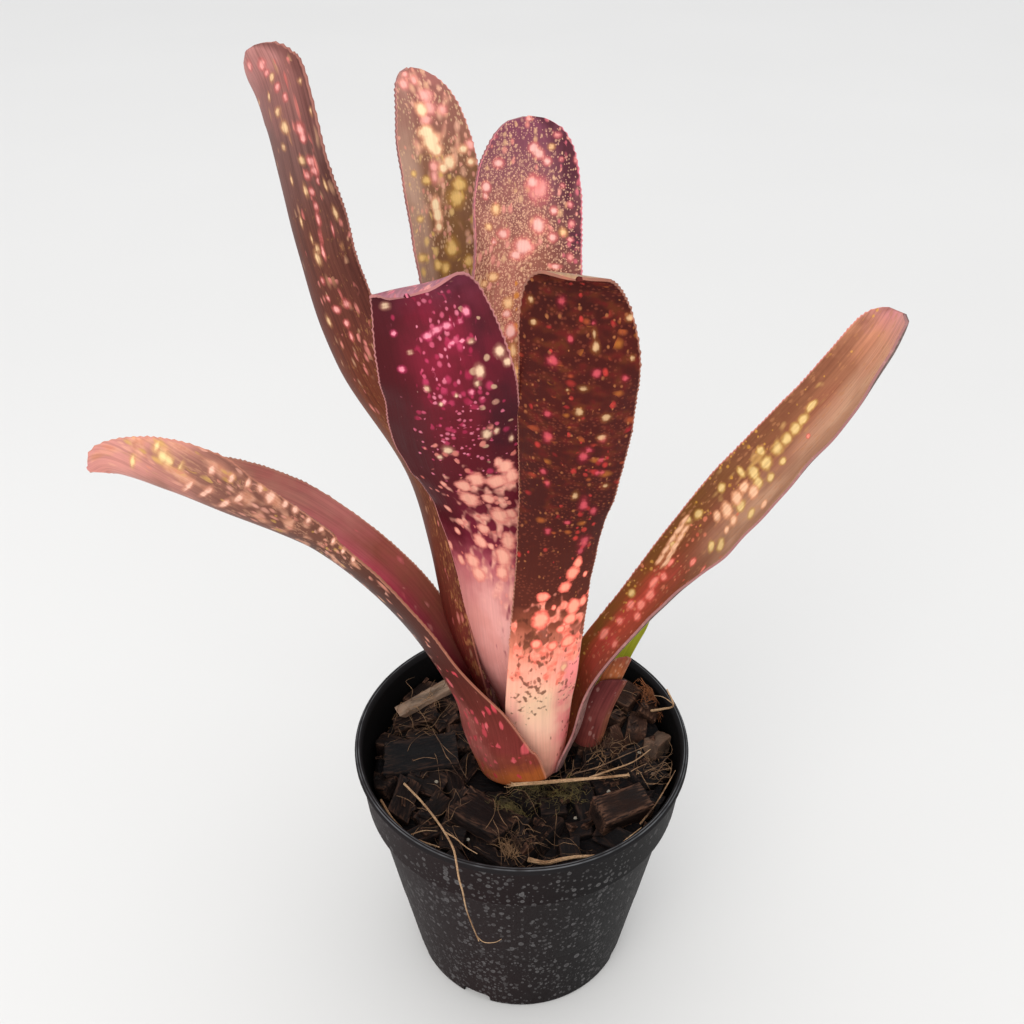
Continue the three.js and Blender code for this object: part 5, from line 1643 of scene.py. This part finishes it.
set_marks("leaf_right_low", [
    [(0.4, 0.337, 2.2, 1.9), (0.53, 0.301, 2.1, 3.2), (0.48, 0.369, 2.1, 2.3), (0.25, 0.383, 2.8, 2.6),
     (0.25, 0.405, 2.8, 2.6), (-0.07, 0.505, 2.2, 2.0), (-0.72, 0.529, 3.2, 1.6), (0.4, 0.423, 2.1, 3.0),
     (0.05, 0.778, 1.6, 1.0), (-0.05, 0.307, 2.4, 2.0), (0.3, 0.443, 2.2, 1.9), (0.05, 0.367, 2.7, 1.9),
     (0.4, 0.467, 1.3, 2.3)],
    [(0.5, 0.808, 1.7, 3.1), (0.43, 0.786, 2.2, 2.8), (0.4, 0.768, 2.6, 2.8), (0.38, 0.747, 2.7, 2.8),
     (0.38, 0.727, 3.1, 2.8), (0.6, 0.703, 2.4, 1.8), (0.33, 0.699, 3.6, 2.8), (0.38, 0.673, 3.5, 2.5),
     (0.58, 0.657, 2.9, 1.4), (0.12, 0.671, 3.4, 2.1), (-0.38, 0.569, 4.4, 2.3), (-0.17, 0.549, 3.4, 1.9),
     (0.65, 0.555, 2.0, 2.3), (0.65, 0.615, 2.0, 2.0), (0.75, 0.535, 1.6, 1.5), (0.65, 0.487, 1.6, 1.5),
     (0.03, 0.627, 3.1, 2.6), (-0.38, 0.639, 3.3, 2.2), (0.68, 0.383, 1.7, 1.9), (0.0, 0.693, 2.6, 1.8),
     (0.07, 0.723, 2.0, 1.7)],
    [(0.05, 0.657, 3.6, 2.5), (0.3, 0.647, 2.7, 2.5), (0.25, 0.627, 3.7, 2.6), (0.23, 0.601, 4.2, 2.7),
     (0.3, 0.581, 2.7, 1.9), (-0.1, 0.605, 3.3, 1.8), (-0.15, 0.587, 2.2, 1.5),
     (-0.5, 0.667, 2.9, 1.8)] + PEACH_LINES])

# %% [markdown]
# The low left leaf turns as it arches, so both its faces get a full finish.

# %% Low left leaf, both faces
leaf = LeafPaint("left_low_outer", 15, [
    (0, "9A5426"), (0.08, "A4562A"), (0.11, "7E3A2C"), (0.16, "7C322E"), (0.24, "5E2822"), (0.33, "4C241E"),
    (0.45, "4A2820"), (0.53, "603A2C"), (0.65, "70463A"), (0.78, "7C5044"), (0.88, "8E6052"),
    (0.94, "C0847A"), (1, "C07E7C")])
flank = [(-0.3, 0.5), (0.2, 1), (0.42, 0.8), (0.62, 0.1), (1, 0)]
leaf.tint("C06C64", leaf.where([(0.07, 0.2), (0.12, 0.8), (0.22, 0.6), (0.3, 0)], flank, 8, 0.4))
leaf.speckle(
    "C87C70",
    leaf.where(
        [(0.05, 0.6), (0.2, 0.6), (0.34, 0.3), (0.4, 0)], [(-0.2, 1), (0.5, 0.8), (0.7, 0.2), (1, 0.4)], 6),
    0.9, 0.6, 4.0)
red = [(0, 0.4), (0.35, 0.9), (0.75, 0.8), (0.97, 0.3)]
leaf.spots(
    ("C43A46", "E0646A"),
    leaf.where([(0.07, 0.2), (0.12, 0.6), (0.26, 0.55), (0.32, 0.3), (0.36, 0)], red, 7), 2.6, 0.42, 0.45,
    2.0, 0.5)
leaf.spots(
    ("C8444C", "E8787A"), leaf.where([(0.09, 0), (0.13, 0.4), (0.26, 0.4), (0.3, 0)], red, 9), 4.4, 0.4, 0.35,
    2.2, 0.6)
leaf.tint(
    "3E221C",
    leaf.where(
        [(0.28, 0.3), (0.4, 0.9), (0.6, 0.8), (0.72, 0)], [(-0.4, 0.6), (0.2, 1), (0.5, 0.7), (0.75, 0)], 12,
        0.3))
leaf.tint(
    "D08C80",
    leaf.where(
        [(0.8, 0.0), (0.9, 0.7), (1, 0.9)], [(-1, 1), (0.2, 0.9), (0.6, 0.3), (0.85, 0.6), (1, 1)], 10, 0.6))
streaky = [(0.42, 0.0), (0.52, 0.5), (0.7, 0.6), (0.95, 0.62), (1, 0.5)]
upper_side = [(-0.1, 0.1), (0.25, 0.5), (0.45, 1), (0.95, 1), (1, 0.4)]
leaf.speckle("B8866A", leaf.where(streaky, upper_side, 6), 1.0, 0.6, 3.0)
leaf.blobs(("C48468", "DCA084"), leaf.where(streaky, upper_side), 4.2, 0.1, 2.0, 0.85)
leaf.spots(
    ("C0924A", "D0A660"),
    leaf.where(
        [(0.4, 0), (0.55, 0.35), (0.72, 0.3), (0.86, 0.5), (0.94, 0.5), (0.98, 0)],
        [(0.1, 0), (0.5, 0.7), (1, 1)], 9),
    2.8, 0.38, 0.7, 2.0, strength=0.7)
leaf.spots(
    ("C87E6A", "DDA08C"), leaf.where([(0.26, 0), (0.34, 0.3), (0.5, 0.4), (0.95, 0.5)], upper_side, 7), 2.0,
    0.4, 0.6, 2.6, strength=0.8)
leaf.marks(0, ("CC8870", "F8C0A8"), 0.7, 0.9)
leaf.marks(1, ("CC9C60", "F0CC90"), 0.9, 0.9)
left_low_outer = leaf.finish(hem="C08068", vein="3A1E18", veins=0.25, gloss=0.34, hem_strength=0.6)

leaf = LeafPaint("left_low_inner", 17, [
    (0, "7A2028"), (0.2, "7C282C"), (0.35, "9C3040"), (0.5, "B84C58"), (0.6, "D0747A"), (0.72, "C47A72"),
    (0.85, "A8705C"), (1, "A86C5E")])
leaf.tint(
    "C02C54",
    leaf.where([(0.2, 0.3), (0.4, 1), (0.68, 0.9), (0.76, 0)], [(-0.4, 0), (-0.2, 1), (0.4, 1)], 12, 0.2))
leaf.tint(
    "84503A",
    leaf.where([(0.2, 0.9), (0.5, 0.8), (0.6, 0.4), (0.7, 0)], [(-1, 0.9), (-0.65, 0.9), (-0.4, 0)], 10, 0.2))
leaf.tint(
    "CC9884", leaf.where([(0.5, 0.0), (0.62, 0.6), (0.75, 0.9)], [(-1, 0.9), (-0.7, 0.8), (-0.4, 0)], 8, 0.5))
leaf.spots(
    ("C8585E", "E09488"), leaf.where([(0.3, 0.3), (0.7, 0.5)], [(-0.9, 0.3), (-0.2, 0.5), (0.3, 0.1)], 8),
    2.4, 0.38, 0.7, 2.4, strength=0.7)
left_low_inner = leaf.finish(hem="C89880", vein="4A1820", veins=0.2, gloss=0.42)
set_marks("leaf_left_low", [
    [(0.9, 0.749, 2.7, 2.1), (0.93, 0.768, 2.0, 1.6), (0.93, 0.723, 2.1, 1.5), (0.95, 0.703, 2.1, 1.6),
     (0.93, 0.673, 1.8, 1.7), (0.93, 0.641, 1.9, 1.5), (0.88, 0.786, 2.3, 1.2), (0.93, 0.591, 2.0, 2.5),
     (0.62, 0.786, 2.6, 1.5), (0.4, 0.796, 3.6, 1.7), (0.93, 0.545, 2.1, 1.3), (0.93, 0.519, 2.1, 1.1),
     (0.4, 0.83, 3.7, 1.2), (0.33, 0.85, 4.1, 0.9), (0.8, 0.816, 1.9, 1.3), (0.75, 0.84, 2.2, 0.9)],
    [(0.65, 0.886, 3.0, 1.8), (0.78, 0.898, 2.6, 1.1), (0.6, 0.876, 2.4, 0.9), (0.35, 0.922, 3.2, 1.0),
     (0.6, 0.864, 2.4, 0.6)]])

# %% [markdown]
# ### Faces turned away
# The faces that the picture hides follow the same habit: the backs of the rear leaves are dark with
# dusty spots, the insides of the front leaves redder, with a painted pale sheen at their tips.


# %% Hidden faces
def quiet_face(name, seed, ground, pair, dust, veins=0.25):
    leaf = LeafPaint(name, seed, ground)
    everywhere = leaf.where([(0, 0.5), (0.5, 0.6), (1, 0.6)], None, 10)
    leaf.spots(pair, everywhere, 3.6, 0.45, 0.3, 1.6, 0.8, 0.8)
    leaf.spots(pair, leaf.where([(0, 0.4), (1, 0.5)], None, 7), 1.9, 0.42, 0.3, 1.6, 0.7, 0.75)
    leaf.speckle(dust, leaf.where([(0, 0.5), (1, 0.7)], None, 8), 0.8, 0.5, 1.6)
    return leaf.finish(veins=veins)


# Painted sheen: the pale tips of these two inner faces are painted sky sheen. The right one's green-tan is partly its
# own colour.
front_left_inner = quiet_face(
    "front_left_inner", 19, [(0, "8A4040"), (0.4, "7A2434"), (0.95, "6A1E34"), (1, "A8707A")],
    ("C86A78", "D89488"), "9A5060")
front_right_inner = quiet_face(
    "front_right_inner", 21,
    [(0, "8A4A3C"), (0.4, "6A2C28"), (0.9, "6A3A2C"), (0.97, "A07858"), (1, "B08A6C")], ("C8707A", "B8A05A"),
    "A07850")
back_right_outer = quiet_face(
    "back_right_outer", 23, [(0, "8A4A44"), (0.4, "5A2A2A"), (1, "4E2430")], ("B86A6A", "C08A68"), "8A6050",
    0.4)
back_left_outer = quiet_face(
    "back_left_outer", 25, [(0, "8A4A3C"), (0.4, "5A3A28"), (1, "5C4430")], ("B88A60", "B87A6A"), "8A6A48",
    0.4)
left_tall_inner = quiet_face(
    "left_tall_inner", 27, [(0, "8A3A3A"), (0.4, "6A2430"), (1, "7A3A3C")], ("C8606E", "C89A60"), "9A5A50")
right_low_outer = quiet_face(
    "right_low_outer", 29, [(0, "A8807C"), (0.15, "946C66"), (0.4, "6A4840"), (1, "6A4C42")],
    ("4E2C2A", "5E3A34"), "B89488", 0.45)

# %% [markdown]
# The offset has no blotches. Its outer bract is brown-purple with an orange-brown flank, the inner one
# orange-brown, and the young leaf plain yellow-green. The stem is carried over from the part and only
# gets a finish.

# %% Offset finishes
leaf = LeafPaint(
    "outer_bract", 31, [(0, "8A4A2E"), (0.3, "7A3A30"), (0.6, "84443E"), (0.85, "7A3C3A"), (1, "6A3230")])
leaf.tint("5A2626", leaf.where([(0, 0.9), (1, 0.7)], [(-1, 0.9), (-0.2, 0.7), (0.1, 0)], 8, 0.4))
leaf.tint("B0704E", leaf.where([(0, 0.8), (0.6, 0.9), (0.9, 0.3)], [(0.0, 0), (0.4, 0.9), (0.9, 0.4)], 8, 0.6))
leaf.speckle("B88A80", leaf.where([(0, 0.2), (1, 0.4)], None, 6), 0.9, 0.4, 2.0)
outer_bract = leaf.finish(hem="6E3434", veins=0.4, gloss=0.38)
leaf = LeafPaint("inner_bract", 33, [(0, "A05A34"), (0.5, "96502C"), (0.85, "A45C38"), (1, "8A4430")])
leaf.speckle("C89474", leaf.where([(0, 0.4), (1, 0.8)], None, 6), 0.9, 0.5, 2.0)
inner_bract = leaf.finish(hem="A05A44", veins=0.3, gloss=0.38)
leaf = LeafPaint("young_leaf", 35, [(0, "8A8E30"), (0.5, "93961A"), (1, "A8AA3A")])
leaf.tint("7C7A12", leaf.where([(0, 0.8), (1, 0.6)], [(-1, 1), (-0.3, 0.2), (0.4, 0)], 8, 0.4))
young_leaf = leaf.finish(hem="B0A050", vein="5A6010", veins=0.3, gloss=0.34, hem_strength=0.4)

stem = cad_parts["stem"]
stem.data.materials.clear()
stem.data.materials.append(fibre_finish("pale_stem", "8A6A4A", "C8AC86", 4))

# %% [markdown]
# Every leaf and bract has an outer and an inner face. Dressed in both, it stands for its CAD node.

# %% Dressing the leaves
FACES = {
    "leaf_front_left": (front_left_outer, front_left_inner),
    "leaf_front_right": (front_right_outer, front_right_inner),
    "leaf_back_right": (back_right_outer, back_right_inner),
    "leaf_back_left": (back_left_outer, back_left_inner),
    "leaf_left_tall": (left_tall_outer, left_tall_inner),
    "leaf_right_low": (right_low_outer, right_low_inner),
    "leaf_left_low": (left_low_outer, left_low_inner),
    "offset_outer_bract": (outer_bract, outer_bract),
    "offset_inner_bract": (inner_bract, inner_bract),
    "offset_leaf": (young_leaf, young_leaf),
}
for name, (outer, inner) in FACES.items():
    leaves[name].data.materials[0] = outer
    leaves[name].data.materials[1] = inner
    ready(leaves[name], {**LEAVES, **OFFSET}[name]["slot"], name)
